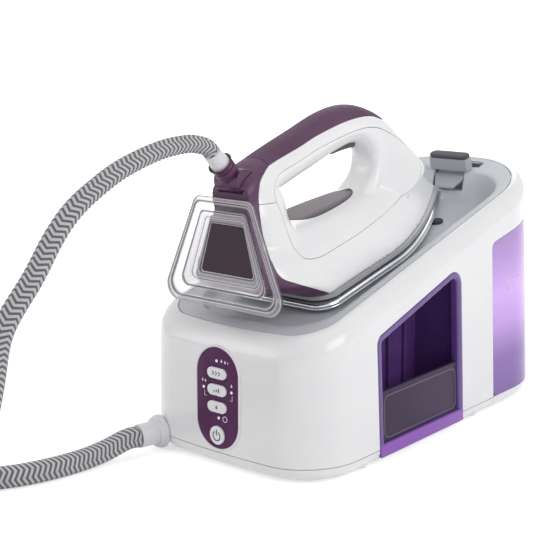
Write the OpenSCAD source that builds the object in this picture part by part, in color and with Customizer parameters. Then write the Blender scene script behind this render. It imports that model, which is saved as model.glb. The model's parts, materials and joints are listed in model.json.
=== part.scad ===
// Steam generator iron: a base with boiler, removable water tank and hose
// compartment, and an iron that parks on the sloping tray on top.
// Millimetres, +Z up, the control panel faces -Y, the tank is at +Y.

/* [Base] */
// Length of the base in front of the parked iron
front_room = 63.3; // [62:0.1:66]
// Length of the base behind the iron's bed
back_room = 48; // [46:0.5:60]
// Plan radius of the front corners
corner_front = 47; // [42:1:52]
// Plan radius of the back corners
corner_back = 90; // [80:1:94]
// How far the front bulges at its middle
front_bow = 7; // [2:0.5:10]
// Draft of the walls, degrees
wall_draft = 1.8; // [0.5:0.1:2.5]
// Wall of the housing
wall = 3; // [2.4:0.1:3.4]
// Height of the seam between pan and housing
seam_h = 14; // [12:0.5:16]
// Height of the rubber feet
foot_h = 3; // [2:0.5:4]
// Radius that rounds the pan under
pan_round = 12; // [8:1:14]
// Floor of the pan
pan_floor = 2.5; // [2:0.1:3]

/* [Tray] */
// Height of the tray seam at the front wall line
tray_front_z = 115; // [112:1:122]
// Slope of the tray seam, degrees
tray_slope = 16.1; // [15:0.1:17]
// Rounded shoulder between wall and tray
shoulder = 16; // [12:1:18]
// Inset of the tray seam from the wall line
tray_inset = 18; // [16:0.5:20]
// Thickness of the tray
tray_t = 2.5; // [2:0.1:3]
// Width of the tray's rim beside the bed
tray_rim = 12; // [11:0.5:16]
// Room in the bed beside the soleplate
bed_side = 14; // [10:0.5:16]
// Room in the bed past the iron's tip
bed_past_tip = 14; // [12:0.5:16]

/* [Control panel] */
// Width of the panel
panel_w = 46; // [44:0.5:50]
// Height of the panel
panel_h = 86; // [84:0.5:90]
// Height of the panel's centre
panel_z = 61; // [60:0.5:64]
// Length of a pill button
pill_l = 25; // [22:0.5:27]
// Height of a pill button
pill_h = 11.4; // [9:0.2:12]
// Diameter of the power button
power_d = 20; // [17:0.5:21]
// How far the buttons stand proud
button_proud = 1.4; // [1.3:0.1:2]

/* [Hose compartment] */
// Front edge of the compartment window
win_front = -111; // [-112:0.5:-105]
// Back edge of the compartment window
win_back = 14; // [8:0.5:18]
// Height of the window at its front edge
win_top = 111; // [100:1:112]
// Depth of the compartment
bin_depth = 54; // [40:1:56]
// Wall of the compartment
bin_wall = 2; // [1.5:0.1:2.5]
// Height of the fence above the table
fence_top = 62; // [50:1:70]

/* [Water tank] */
// Front face of the tank
tank_y = 66; // [64:0.5:70]
// Drop of the tank's top below the bed, at its front face
tank_drop = 8.3; // [7.5:0.1:14]
// Wall of the tank
tank_wall = 2.4; // [2:0.1:3]
// Gap between the tank and its bay
tank_gap = 0.5; // [0.4:0.05:0.8]

/* [Iron] */
// Length of the soleplate
sole_l = 258; // [250:1:262]
// Width of the soleplate
sole_w = 116; // [110:1:118]
// Thickness of the soleplate
sole_t = 7; // [6:0.5:8]
// Slope of the parked iron, degrees
iron_slope = 13.5; // [13:0.1:14]
// Height of the rest pads
pad_h = 2.5; // [2:0.1:3]
// Half width of the handle
grip_hw = 17; // [15:0.5:19]
// Diameter of the swivel barrel
swivel_d = 20; // [18:0.5:22]
// Diameter of the swivel pin
swivel_pin_d = 4; // [3:0.1:5]
// Diameter of the trigger pin
trigger_pin_d = 3; // [2:0.1:3.4]

/* [Steam hose] */
// Outer diameter of the covered hose
hose_d = 18; // [16:0.5:19]
// Diameter of the hose where it leaves the iron
hose_iron_d = 13.5; // [12:0.5:15]
// Mean radius of the innermost turn
coil_r = 90; // [86:1:96]

/* [Hidden] */
$fn = 48;

// Clearances: sliding faces, turning pins, fixed pins and pipes in their holes, seats
slide_gap = 0.4;
pin_gap = 0.05;
hole_gap = 0.1;
seat_gap = 0.3;

// Colours as photographed
c_white = "#f4f4f5";
c_grey = "#b9bcc2";
c_plum = "#5a3258";
c_dark = "#3c3a40";
c_lilac = "#b48ae0";
c_violet = "#43256b";
c_steel = "#c9ccd0";
c_brass = "#c2a24e";
c_hose = "#dcdde2";

// The base is as long and as wide as the iron on it needs
sole_rear = 4;
tip_y = sole_rear+sole_l;
bed_hw = sole_w/2+bed_side;
half_w = bed_hw+tray_rim+tray_inset;
half_l = (front_room+tip_y*cos(iron_slope)+bed_past_tip+back_room)/2;
iron_y = front_room-half_l;
iron_z = tray_front_z+8.8;
// Gap between the sole and its pads, and the floor of the bed under them
pad_gap = 0.2;
function bed_z(y) = iron_z-(pad_h+pad_gap)/cos(iron_slope)+tan(iron_slope)*(y-iron_y);

// Levels that several pieces share
floor_z = foot_h+pan_floor;
draft_t = tan(wall_draft);
slope_t = tan(tray_slope);
N_FRONT = 6;
k_ref = 40;
panel_t = 4;
panel_proud = 0.8;
// Heights of the buttons about the panel's centre
turbo_z = 21.3;
mode_z = 7;
clean_z = -7.4;
power_z = -31.6;

function lerp(a, b, t) = a+(b-a)*t;
function arc(cx, cy, r, a0, a1, n) =
  [for (i = [0:n]) [cx+r*cos(lerp(a0, a1, i/n)), cy+r*sin(lerp(a0, a1, i/n))]];
function drop_last(v) = [for (i = [0:len(v)-2]) v[i]];

// Rounded plan: half width, front and back ends, corner radii, bulge of the front
function plan(w, yf, yb, rf, rb, bow) =
  let (raw = concat(
    [for (i = [0:N_FRONT-1]) [(w-rf)*(2*i/N_FRONT-1), yf]],
    arc(w-rf, yf+rf, rf, -90, 0, 8),
    arc(w-rb, yb-rb, rb, 0, 90, 10),
    arc(rb-w, yb-rb, rb, 90, 180, 10),
    drop_last(arc(rf-w, yf+rf, rf, 180, 270, 8))))
  [for (p = raw) [p[0], p[1]-bow*max(0, 1-pow(p[0]/w, 2))*min(1, max(0, (yf+rf-p[1])/rf))]];

function base_plan(k) =
  plan(half_w-k, k-half_l, half_l-k, corner_front-k, corner_back-k, front_bow);
plan_0 = base_plan(0);
plan_k = base_plan(k_ref);
N_PLAN = len(plan_0);
function inset(i, k) = plan_0[i]+(plan_k[i]-plan_0[i])*k/k_ref;

function tray_z(y) = tray_front_z+slope_t*(y+half_l);
function level_ring(k, z) = [for (i = [0:N_PLAN-1]) concat(inset(i, k), [z])];
function slope_ring(k, dz) =
  [for (i = [0:N_PLAN-1]) let (p = inset(i, k)) [p[0], p[1], tray_z(p[1])+dz]];
// Ring on the drafted wall, dz from the tray seam, set in by k
function wall_ring(k, dz) =
  [for (i = [0:N_PLAN-1])
    let (z = tray_z(inset(i, 5)[1])+dz, p = inset(i, k+draft_t*(z-seam_h)))
    [p[0], p[1], z]];
// Ring on the rounded shoulder, t from 0 at the wall to 90 at the seam
function shoulder_ring(t) =
  [for (i = [0:N_PLAN-1])
    let (z0 = tray_z(inset(i, 5)[1])-shoulder,
      k0 = draft_t*(z0-seam_h),
      p = inset(i, k0+(tray_inset-k0)*(1-cos(t))))
    [p[0], p[1], lerp(z0, tray_z(p[1]), sin(t))]];

// Skin through a list of rings, capped at both ends or closed on itself
module loft(rings, closed = false) {
  n = len(rings[0]);
  m = len(rings);
  side = [for (j = [0:closed ? m-1 : m-2]) for (i = [0:n-1])
    let (a = j*n+i, b = j*n+(i+1)%n, c = ((j+1)%m)*n+(i+1)%n, d = ((j+1)%m)*n+i)
    each [[a, d, c], [a, c, b]]];
  caps = closed ? [] : [[for (i = [0:n-1]) i], [for (i = [0:n-1]) m*n-1-i]];
  polyhedron([for (r = rings) each r], concat(side, caps));
}
// A moulding whose blended faces stay one facetted skin
module moulded() { resize([0, 0, 0]) children(); }
// A profile drawn in Y and Z, run along X from x0 to x1
module along_x(x0, x1) {
  translate([x0, 0, 0]) rotate([90, 0, 90]) linear_extrude(x1-x0) children();
}
module slab(x, y, z) { translate([x[0], y[0], z[0]]) cube([x[1]-x[0], y[1]-y[0], z[1]-z[0]]); }
module rod_x(x0, x1, d) { translate([x0, 0, 0]) rotate([0, 90, 0]) cylinder(d = d, h = x1-x0); }
module rod_y(y0, y1, d) { translate([0, y0, 0]) rotate([-90, 0, 0]) cylinder(d = d, h = y1-y0); }
// Pipe through points that differ along one axis at a time
module pipe(pts, d) {
  for (i = [0:len(pts)-2]) {
    v = pts[i+1]-pts[i];
    translate(pts[i])
      rotate([0, acos(v[2]/norm(v)), atan2(v[1], v[0])])
        cylinder(d = d, h = norm(v));
    if (i > 0) translate(pts[i]) sphere(d = d);
  }
}

// Shift that puts the origin at the middle of the base's footprint
front_reach = half_l+front_bow+panel_proud+button_proud-draft_t*(panel_z+power_z-power_d/2-seam_h);
mid_y = (front_reach-half_l)/2;
module base() { translate([0, mid_y, 0]) children(); }

// Base shell

module wall_solid(k) {
  top = 300;
  loft([level_ring(k, 0), level_ring(k, seam_h), level_ring(k+draft_t*(top-seam_h), top)]);
}
pan_lip = 1.2;
module pan_solid(z1) {
  loft([level_ring(pan_round, foot_h), level_ring(pan_round*0.45, foot_h+pan_lip),
    level_ring(pan_round*0.14, foot_h+(seam_h-foot_h)*0.4),
    level_ring(0, foot_h+(seam_h-foot_h)*0.75), level_ring(0, z1)]);
}

bay_wall = 4;
pan_end = tank_y-tank_gap;
bay_front = pan_end-bay_wall;
deck_in = 9;
deck_top = foot_h+5;
screw_d = 3.2;
screw_in = 7.5;
screw_spots = [for (s = [-1, 1]) for (y = [62-half_l, bay_front-24]) [s*(half_w-screw_in), y]];
post_d = 11;
post_top = 46;
foot_d = 18;
foot_spots = [for (s = [-1, 1]) for (p = [[half_w-40, 40-half_l], [half_w-22, 30], [40, half_l-40]])
  [s*p[0], p[1]]];

win_bottom = floor_z+1;
win_back_top = win_top+slope_t*(win_back-win_front);
module window_2d(d) {
  hull() {
    translate([win_front+4, win_bottom+4]) circle(4+d, $fn = 16);
    translate([win_back-4, win_bottom+4]) circle(4+d, $fn = 16);
    translate([win_back-13, win_back_top-16]) circle(13+d, $fn = 28);
    translate([win_front+9, win_top-8]) circle(9+d, $fn = 24);
  }
}

// Hose gland on the front left corner, turned out a little
gland_z = 15.5;
gland_turn = 12;
gland_at = 22.5;
gland_neck_d = 21;
gland_in = 20;
cuff_end = 26;
gland_x = corner_front*(1-sin(gland_at))-half_w;
gland_bow = front_bow*(1-pow(gland_x/half_w, 2))*cos(gland_at);
gland_y = corner_front*(1-cos(gland_at))-half_l-gland_bow+0.5;
module gland_frame() { translate([gland_x, gland_y, gland_z]) rotate([0, 0, -gland_turn]) children(); }
// Point on the gland's axis, d outwards
function gland_pt(d) = [gland_x-d*sin(gland_turn), gland_y-d*cos(gland_turn), gland_z];

mains_y = 0;
mains_z = 32;
mains_d = 12;
mains_bore = 7.5;

module stadium(w, h, n = 24) {
  r = min(w, h)/2;
  polygon(concat(
    arc(w/2-r, h/2-r, r, 0, 90, n/4), arc(r-w/2, h/2-r, r, 90, 180, n/4),
    arc(r-w/2, r-h/2, r, 180, 270, n/4), arc(w/2-r, r-h/2, r, 270, 360, n/4)));
}
module panel_frame() {
  translate([0, draft_t*(panel_z-seam_h)-half_l-front_bow, panel_z])
    rotate([-wall_draft, 0, 0]) children();
}
// A plate in the panel's frame from depth y0 (out) to y1 (in)
module panel_plate(y0, y1) {
  translate([0, y1, 0]) rotate([90, 0, 0]) linear_extrude(y1-y0) children();
}

module base_pan() {
  color(c_white) base() moulded() difference() {
    union() {
      difference() {
        pan_solid(seam_h);
        slab([-200, 200], [pan_end, 400], [-1, 50]);
        translate([0, 0, floor_z]) linear_extrude(50) intersection() {
          polygon(base_plan(wall+2));
          translate([-200, -300]) square([400, 300+bay_front]);
        }
      }
      translate([0, 0, foot_h]) linear_extrude(deck_top-foot_h) intersection() {
        polygon(base_plan(deck_in));
        translate([-200, bay_front]) square([400, 300]);
      }
      for (p = screw_spots) translate([p[0], p[1], foot_h+1])
        cylinder(d = post_d, h = seam_h-foot_h-1, $fn = 24);
    }
    for (p = screw_spots) translate(p) {
      cylinder(d = screw_d+0.5, h = 50, $fn = 16);
      translate([0, 0, -1]) cylinder(d = 2*screw_d+0.6, h = foot_h+4, $fn = 24);
    }
    along_x(half_w-20, half_w+20) window_2d(0.15);
    gland_frame() rod_y(-40, gland_in+1, gland_neck_d+0.3);
  }
}

module base_housing() {
  color(c_white) base() moulded() difference() {
    union() {
      loft(concat([level_ring(0, seam_h), wall_ring(0, -shoulder)],
        [for (t = [22.5:22.5:90]) shoulder_ring(t)],
        [slope_ring(tray_inset, -tray_t-pin_gap), slope_ring(tray_inset+5, -tray_t-pin_gap),
          slope_ring(tray_inset+5, -tray_t-2.4), wall_ring(wall, -shoulder-3),
          level_ring(wall, seam_h)]), closed = true);
      for (p = screw_spots) translate([p[0], p[1], seam_h]) intersection() {
        cylinder(d = post_d, h = post_top-seam_h, $fn = 24);
        translate([-p[0], -p[1], -seam_h]) wall_solid(0.5);
      }
    }
    for (p = screw_spots) translate(p) cylinder(d = screw_d+hole_gap, h = post_top-8, $fn = 16);
    along_x(half_w-25, half_w+20) window_2d(0.15);
    along_x(-200, 200) bay_2d(tank_gap);
    panel_frame() panel_plate(-20, 12) stadium(panel_w, panel_h);
    gland_frame() rod_y(-40, gland_in+1, gland_neck_d+0.3);
    translate([0, mains_y, mains_z]) rod_x(-200, -half_w+15, mains_d+hole_gap);
  }
}

// Profile of the tank in Y and Z, grown by d
tank_top = bed_z(tank_y)-tank_drop;
tank_slope_t = 0.2;
tank_z0 = seam_h+0.6;
function tank_top_z(y) = tank_top+tank_slope_t*(y-tank_y);
module tank_2d(d) {
  past = half_l+30;
  offset(r = 7, $fn = 24) offset(delta = d-7)
    polygon([[tank_y, tank_z0], [past, tank_z0], [past, tank_top_z(past)], [tank_y, tank_top]]);
}
module bay_2d(d) {
  union() {
    tank_2d(d);
    translate([tank_y-d, -10]) square([300, tank_top-20]);
  }
}

module tank_bay() {
  t = 2;
  color(c_grey) base() moulded() difference() {
    intersection() {
      union() {
        along_x(-200, 200) intersection() {
          difference() {
            offset(delta = t) bay_2d(tank_gap);
            bay_2d(tank_gap);
          }
          translate([0, seam_h]) square([500, 400]);
        }
        slab([-200, 200], [bay_front+0.4, pan_end], [seam_h, tank_top-20]);
      }
      wall_solid(wall+0.3);
      slab([-200, 200], [bay_front+0.4, half_l-wall-1], [0, 300]);
    }
    translate([tank_x, 0, valve_z]) rod_y(0, 100, coupling_d+2.2);
    for (p = screw_spots) translate(p) cylinder(d = post_d+0.6, h = 60, $fn = 24);
  }
}

module rubber_feet() {
  color(c_dark) base() for (p = foot_spots) translate(p)
    cylinder(d1 = foot_d-1.5, d2 = foot_d, h = foot_h);
}
module housing_screws() {
  color(c_steel) base() for (p = screw_spots) translate([p[0], p[1], foot_h+3]) {
    translate([0, 0, -2.4]) cylinder(d = 2*screw_d, h = 2.4);
    cylinder(d = screw_d, h = 20);
  }
}

// Tray with the sunken iron bed

module iron_frame() { translate([0, mid_y+iron_y, iron_z]) rotate([iron_slope, 0, 0]) children(); }
// Point of the iron's middle plane in the frame of the base
function iron_pt(a, b) =
  [0, iron_y+a*cos(iron_slope)-b*sin(iron_slope), iron_z+a*sin(iron_slope)+b*cos(iron_slope)];
bed_front = 30-half_l;
bed_back = half_l-back_room;
function bed_ring(k) = plan(bed_hw-k, bed_front+k, bed_back-k, 40-k, 46-k, 0);
function bed_seam_ring(k, dz) = [for (p = bed_ring(k)) [p[0], p[1], tray_z(p[1])+dz]];
function bed_floor_ring(k, dz) = [for (p = bed_ring(k)) [p[0], p[1], bed_z(p[1])+dz]];

// Lock on the shelf behind the bed: block from lock_front to lock_rear, foot through the slot
lock_y = bed_back+8;
module lock_frame() {
  translate([0, mid_y+lock_y, tray_z(lock_y)-1.5]) rotate([tray_slope, 0, 0]) children();
}
lock_hw = 21;
lock_slot_hw = 17.6;
lock_front = -9.5;
lock_rear = 1;
lock_h = 12.5;
lock_foot = [-4, 3.5];
lock_back = 8;

module iron_tray() {
  color(c_grey) moulded() difference() {
    base() loft([bed_floor_ring(4.5, -tray_t), bed_seam_ring(-2.5, -6.5), bed_seam_ring(-4.5, -4),
      slope_ring(tray_inset+6, -tray_t), slope_ring(tray_inset+0.2, -tray_t), slope_ring(tray_inset+0.2, 0),
      slope_ring(tray_inset+3, -0.3),
      bed_seam_ring(-2, -1.5), bed_seam_ring(0, -4), bed_floor_ring(6, 0)]);
    lock_frame() {
      slab([-lock_slot_hw, lock_slot_hw], [-26, lock_foot[1]+lock_back+slide_gap], [-17, 8]);
      slab([-lock_hw-slide_gap, lock_hw+slide_gap], [-26, lock_rear+lock_back+slide_gap], [0, 20]);
    }
  }
}
pad_spots = [[30, tip_y-54], [40, sole_rear+30]];
module tray_rest_pads() {
  color(c_dark) iron_frame() for (s = [-1, 1]) for (p = pad_spots)
    translate([s*p[0], p[1], -pad_h-pad_gap]) cylinder(d = 12, h = pad_h);
}

tongue_tip = [-22.2, -13.6];
tongue_root = [-9, -7.5];
module lock_slider() {
  color(c_grey) lock_frame() {
    slab([-lock_hw, lock_hw], [lock_front, lock_rear], [seat_gap, lock_h]);
    slab([-lock_slot_hw+slide_gap, lock_slot_hw-slide_gap], lock_foot, [-8, 3]);
    slab([-lock_hw, lock_hw], [0, lock_foot[1]], [-8, -tray_t-2.4]);
    hull() {
      translate([-17, tongue_root[0], tongue_root[1]]) cube([34, 8, 3]);
      translate([-10, tongue_tip[0], tongue_tip[1]]) cube([20, 1.5, 2]);
    }
  }
}
lock_pad_t = 4;
module lock_pad() {
  color(c_dark) lock_frame() translate([0, (lock_front+lock_rear)/2, lock_h])
    linear_extrude(lock_pad_t) stadium(2*lock_hw+2, lock_rear-lock_front+2);
}

// Control panel

button_travel = 1.2;
button_gap = 0.35;
flange_y0 = panel_t-panel_proud+slide_gap;
stem_end = 9;
board_y = 14;
board_posts = [[-12, 33], [12, 33], [-18.5, -14.5], [18.5, -14.5]];
lens_spots = [[-6, 36], [6, 36], [-17, 21], [-17, 7], [17, 7], [17, -7], [-7, -19], [7, -19]];
lens_d = 2.6;

module control_panel() {
  color(c_plum) base() panel_frame() difference() {
    union() {
      panel_plate(-panel_proud, panel_t-panel_proud) stadium(panel_w, panel_h);
      for (p = board_posts) translate([p[0], 0, p[1]]) rod_y(panel_t-panel_proud, board_y, 5);
    }
    for (z = [turbo_z, mode_z, clean_z]) translate([0, 0, z])
      panel_plate(-5, 8) stadium(pill_l+2*button_gap, pill_h+2*button_gap);
    translate([0, 0, power_z]) rod_y(-5, 8, power_d+2*button_gap);
    for (p = lens_spots) translate([p[0], 0, p[1]]) rod_y(-5, 8, lens_d+hole_gap);
  }
}
module pill_button(z) {
  color("#ececf0") base() panel_frame() translate([0, 0, z]) {
    panel_plate(-panel_proud-button_proud, flange_y0) stadium(pill_l, pill_h);
    panel_plate(flange_y0, flange_y0+1.6) stadium(pill_l+2, pill_h+2);
    rod_y(flange_y0+1.6, stem_end, 4);
  }
}
module turbo_button() { pill_button(turbo_z); }
module mode_button() { pill_button(mode_z); }
module clean_button() { pill_button(clean_z); }
module power_button() {
  color("#ececf0") base() panel_frame() translate([0, 0, power_z]) {
    rod_y(-panel_proud-button_proud, flange_y0, power_d);
    rod_y(flange_y0, flange_y0+1.6, power_d+2);
    rod_y(flange_y0+1.6, stem_end, 4);
  }
}
module indicator_lenses() {
  color("#e8e6f0") base() panel_frame() for (p = lens_spots) translate([p[0], 0, p[1]])
    rod_y(-panel_proud-0.2, panel_t-panel_proud, lens_d);
}
module control_board() {
  color("#2f6b46") base() panel_frame() slab([-21, 21], [board_y, board_y+1.6], [-42, 39]);
}
module tact_switches() {
  gap = button_travel+0.15;
  color(c_dark) base() panel_frame() for (z = [turbo_z, mode_z, clean_z, power_z]) translate([0, 0, z]) {
    slab([-3, 3], [stem_end+gap+1, board_y], [-3, 3]);
    rod_y(stem_end+gap, stem_end+gap+1, 3.4);
  }
}

// Hose compartment on the right side

bin_x = half_w-bin_depth;
rib_t = 1.6;
module hose_compartment() {
  color(c_violet) base() moulded() intersection() {
    union() {
      difference() {
        along_x(bin_x, half_w+5) window_2d(0);
        along_x(bin_x+bin_wall, half_w+10) window_2d(-bin_wall);
      }
      along_x(half_w-12, half_w+5) intersection() {
        window_2d(0);
        square([800, 2*(win_bottom+9.5)], center = true);
      }
      for (y = [win_front+14, win_back-20])
        slab([bin_x+4, half_w-16], [y, y+6], [floor_z, win_bottom+1]);
      for (y = [win_front+30:24:win_back-20])
        slab([bin_x+1, bin_x+6], [y, y+rib_t], [win_bottom+1, win_top-12]);
    }
    wall_solid(0);
  }
}
module compartment_fence() {
  color("#6f4f92") base() moulded() intersection() {
    along_x(half_w-7, half_w) intersection() {
      window_2d(-bin_wall);
      translate([win_front, win_bottom+9.5]) square([300, fence_top-win_bottom-9.5]);
    }
    wall_solid(2);
  }
}

// Boiler and steam side

boiler_x = -32;
boiler_z = 52;
boiler_d = 72;
boiler_y0 = -92;
boiler_y1 = 40;
boiler_t = 2;
boss_top = boiler_z+boiler_d/2+3;
steam_boss_y = -20;
thermo_y = -56;
safety_y = 12;
safety_d = 8;
heater_z = 40;
heater_rod_d = 7;
module boiler_frame() { translate([boiler_x, mid_y, boiler_z]) children(); }
module boiler() {
  color(c_steel) boiler_frame() difference() {
    union() {
      rod_y(boiler_y0, boiler_y1, boiler_d);
      for (y = [steam_boss_y, thermo_y, safety_y])
        translate([0, y, boiler_d/2-6]) cylinder(d = 20, h = 9);
    }
    rod_y(boiler_y0+boiler_t, boiler_y1-boiler_t, boiler_d-2*boiler_t);
    translate([0, 0, heater_z-boiler_z]) rod_y(boiler_y0-1, boiler_y0+5, 26);
    translate([0, steam_boss_y, 0]) cylinder(d = pipe_d+hole_gap, h = boiler_d);
    translate([0, safety_y, 0]) cylinder(d = safety_d+hole_gap, h = boiler_d);
    translate([feed_x-boiler_x, 0, feed_z-boiler_z]) rod_y(boiler_y0-1, boiler_y0+5, tube_d+hole_gap);
  }
}
module boiler_saddles() {
  color(c_steel) for (y = [-78, 18]) difference() {
    translate([boiler_x-30, mid_y+y, floor_z]) cube([60, 5, 26]);
    boiler_frame() rod_y(-200, 200, boiler_d+hole_gap);
  }
}
module heater_element() {
  color(c_brass) translate([boiler_x, mid_y, heater_z]) {
    rod_y(boiler_y0-5, boiler_y0, 32);
    for (s = [-1, 1]) translate([s*8, 0, 0]) rod_y(boiler_y0-14, boiler_y1-24, heater_rod_d);
    translate([0, boiler_y1-24, 0]) rod_x(-8, 8, heater_rod_d);
  }
}
module thermostat() {
  color(c_dark) translate([boiler_x, mid_y+thermo_y, boss_top]) {
    cylinder(d = 18, h = 8);
    for (s = [-1, 1]) slab([s*5-2, s*5+2], [-0.4, 0.4], [8, 15]);
  }
}
module safety_valve() {
  color(c_brass) translate([boiler_x, mid_y+safety_y, boss_top]) {
    cylinder(d = 18, h = 8, $fn = 6);
    translate([0, 0, 8]) cylinder(d = 12, h = 12);
    translate([0, 0, -6]) cylinder(d = safety_d, h = 6);
  }
}

valve_x = gland_pt(-gland_in)[0];
valve_y = 50-half_l;
pipe_d = 6;
pipe_top = boss_top+15;
solenoid_z = 34;
outlet_y = 30-half_l;
outlet_end = gland_pt(-gland_in)[1]+0.75;
module steam_pipe() {
  color("#c98d5a") base() pipe([[boiler_x, steam_boss_y, boss_top-8], [boiler_x, steam_boss_y, pipe_top],
    [valve_x, steam_boss_y, pipe_top], [valve_x, valve_y, pipe_top], [valve_x, valve_y, 52]], pipe_d);
}
module solenoid_valve() {
  color(c_brass) translate([valve_x, mid_y+valve_y, 0]) {
    slab([-12, 12], [-12, 12], [solenoid_z-10, solenoid_z+10]);
    slab([-10, 10], [-9, 9], [floor_z, solenoid_z-10]);
    translate([0, 0, solenoid_z+10]) difference() {
      cylinder(d = 10, h = 12);
      cylinder(d = pipe_d+hole_gap, h = 20);
    }
    translate([0, 0, solenoid_z]) rod_x(12, 40, 26);
  }
}
module outlet_pipe() {
  color("#c98d5a") base() pipe([[valve_x, valve_y-12, solenoid_z], [valve_x, outlet_y, solenoid_z],
    [valve_x, outlet_y, gland_z], [valve_x, outlet_end, gland_z]], pipe_d);
}

// Water side

tank_x = 24;
valve_z = 36;
coupling_d = 10;
tube_d = 8;
pump_y = 48-half_l;
pump_z = 26;
feed_x = -12;
feed_z = 66;
module water_pump() {
  color("#d8d8d2") translate([0, mid_y+pump_y, pump_z]) {
    slab([18, 54], [-17, 17], [-17, 17]);
    rod_x(2, 18, 16);
    rod_x(54, 70, 16);
    rod_x(70, 76, tube_d);
  }
}
module pump_bracket() {
  color(c_dark) translate([36, mid_y+pump_y, 0])
    slab([-26, 26], [-15, 15], [floor_z, pump_z-17]);
}
module suction_tube() {
  color("#e6e6ea") base() pipe([[tank_x, bay_front-6, valve_z], [tank_x, 40, valve_z], [tank_x, 40, 12],
    [tank_x, pump_y+30, 12], [-4, pump_y+30, 12], [-4, pump_y+30, pump_z], [-4, pump_y, pump_z],
    [2, pump_y, pump_z]], tube_d);
}
module feed_tube() {
  color("#e6e6ea") base() pipe([[76, pump_y, pump_z], [82, pump_y, pump_z], [82, pump_y, feed_z],
    [feed_x, pump_y, feed_z], [feed_x, boiler_y0+boiler_t, feed_z]], tube_d);
}
module tank_coupling() {
  color(c_grey) translate([tank_x, mid_y, valve_z]) {
    rod_y(bay_front-6, bay_front+0.4, 24);
    difference() {
      rod_y(bay_front+0.4, tank_y+9, coupling_d);
      rod_y(bay_front+2, tank_y+10, coupling_d-4);
    }
  }
}
module terminal_block() {
  color("#e9e4d6") translate([27-half_w, mid_y+mains_y, floor_z]) {
    slab([-9, 9], [-12, 12], [0, 14]);
    for (y = [-8, 0, 8]) translate([0, y, 14]) cylinder(d = 5, h = 2);
  }
}
module mains_gland() {
  x0 = -half_w+draft_t*(mains_z-seam_h);
  color(c_dark) translate([0, mid_y+mains_y, mains_z]) difference() {
    union() {
      rod_x(x0, x0+11, mains_d);
      rod_x(x0+wall+0.3, x0+wall+2.5, mains_d+4);
    }
    rod_x(x0-5, x0+20, mains_bore);
  }
}
module hose_gland() {
  color(c_white) base() gland_frame() {
    rod_y(-9.5, -6, 26);
    rod_y(-6, -2.4, 29);
    rod_y(-2.4, gland_in, gland_neck_d);
    rod_y(-cuff_end, -9.5, hose_d+2.4);
  }
}

// Water tank

flap_hw = 22;
flap_z0 = 138;
flap_top = 168;
flap_pin_d = 2.2;
flap_knuckle = 4.8;
knuckle_hw = 13;
knuckle_end = knuckle_hw+4.4;
// The plate starts this far above its hinge line, so that its edge clears the tank as it opens
flap_lift = 2.6;
flap_y = half_l-draft_t*(flap_z0-seam_h)-flap_knuckle/2;
module flap_hole(g) {
  slab([-flap_hw-g, flap_hw+g], [half_l-30, half_l+20], [flap_z0+flap_lift-5*g, flap_top+g]);
  translate([0, flap_y, flap_z0]) rod_x(-knuckle_end, knuckle_end, flap_knuckle+4*g);
  slab([-knuckle_end, knuckle_end], [half_l-30, half_l+20], [flap_z0-g, flap_z0+flap_lift]);
}
module tank_solid(d) {
  intersection() {
    wall_solid(d);
    along_x(-200, 200) tank_2d(-d);
  }
}
module water_tank() {
  color(c_lilac, 0.7) base() moulded() difference() {
    union() {
      difference() {
        tank_solid(0);
        tank_solid(tank_wall);
        flap_hole(slide_gap);
      }
      for (s = [-1, 1]) intersection() {
        translate([s*(knuckle_hw+2.2)-1.8, flap_y-3, flap_z0-6]) cube([3.6, 6, 8.4]);
        wall_solid(0.3);
      }
    }
    translate([tank_x, 0, valve_z]) rod_y(0, 80, valve_d+0.2);
    translate([0, flap_y, flap_z0]) rod_x(-60, 60, flap_pin_d+hole_gap);
  }
}
module tank_base() {
  color(c_white) base() moulded() difference() {
    intersection() {
      pan_solid(tank_z0);
      slab([-200, 200], [tank_y, 300], [foot_h+pan_lip, tank_z0+10]);
    }
    linear_extrude(deck_top+0.6) polygon(base_plan(deck_in-0.7));
  }
}
valve_d = 17;
module tank_valve() {
  color(c_grey) translate([tank_x, mid_y, valve_z]) difference() {
    union() {
      rod_y(tank_y, tank_y+20, valve_d);
      rod_y(tank_y+tank_wall, tank_y+tank_wall+2, valve_d+5);
    }
    rod_y(tank_y-1, tank_y+12, coupling_d+4);
    rod_y(tank_y+11, tank_y+21, 6);
  }
}
module tank_seal() {
  color(c_dark) translate([tank_x, mid_y+tank_y+6, valve_z]) rotate([90, 0, 0])
    rotate_extrude() translate([coupling_d/2+1.15, 0]) circle(0.83, $fn = 24);
}
module tank_flap() {
  color(c_lilac, 0.8) base() {
    difference() {
      union() {
        moulded() difference() {
          intersection() {
            difference() {
              wall_solid(0);
              wall_solid(2.2);
            }
            union() {
              slab([-flap_hw, flap_hw], [half_l-30, half_l+10], [flap_z0+flap_lift, flap_top]);
              slab([-knuckle_hw, knuckle_hw], [half_l-30, half_l+10], [flap_z0+1, flap_top]);
            }
          }
          for (s = [-1, 1]) translate([s*(knuckle_hw+2.2)-2.2, half_l-20, flap_z0-1])
            cube([4.4, 40, 4.2]);
        }
        translate([0, flap_y, flap_z0]) rod_x(-knuckle_hw, knuckle_hw, flap_knuckle);
      }
      translate([0, flap_y, flap_z0]) rod_x(-60, 60, flap_pin_d+2*pin_gap);
    }
  }
}
module flap_pin() {
  color(c_steel) translate([0, mid_y+flap_y, flap_z0]) rod_x(-knuckle_hw-4, knuckle_hw+4, flap_pin_d);
}

// Iron, drawn in its own frame: rear of the soleplate at Y = 0, sole at Z = 0

taper_from = 0.42;
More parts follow.
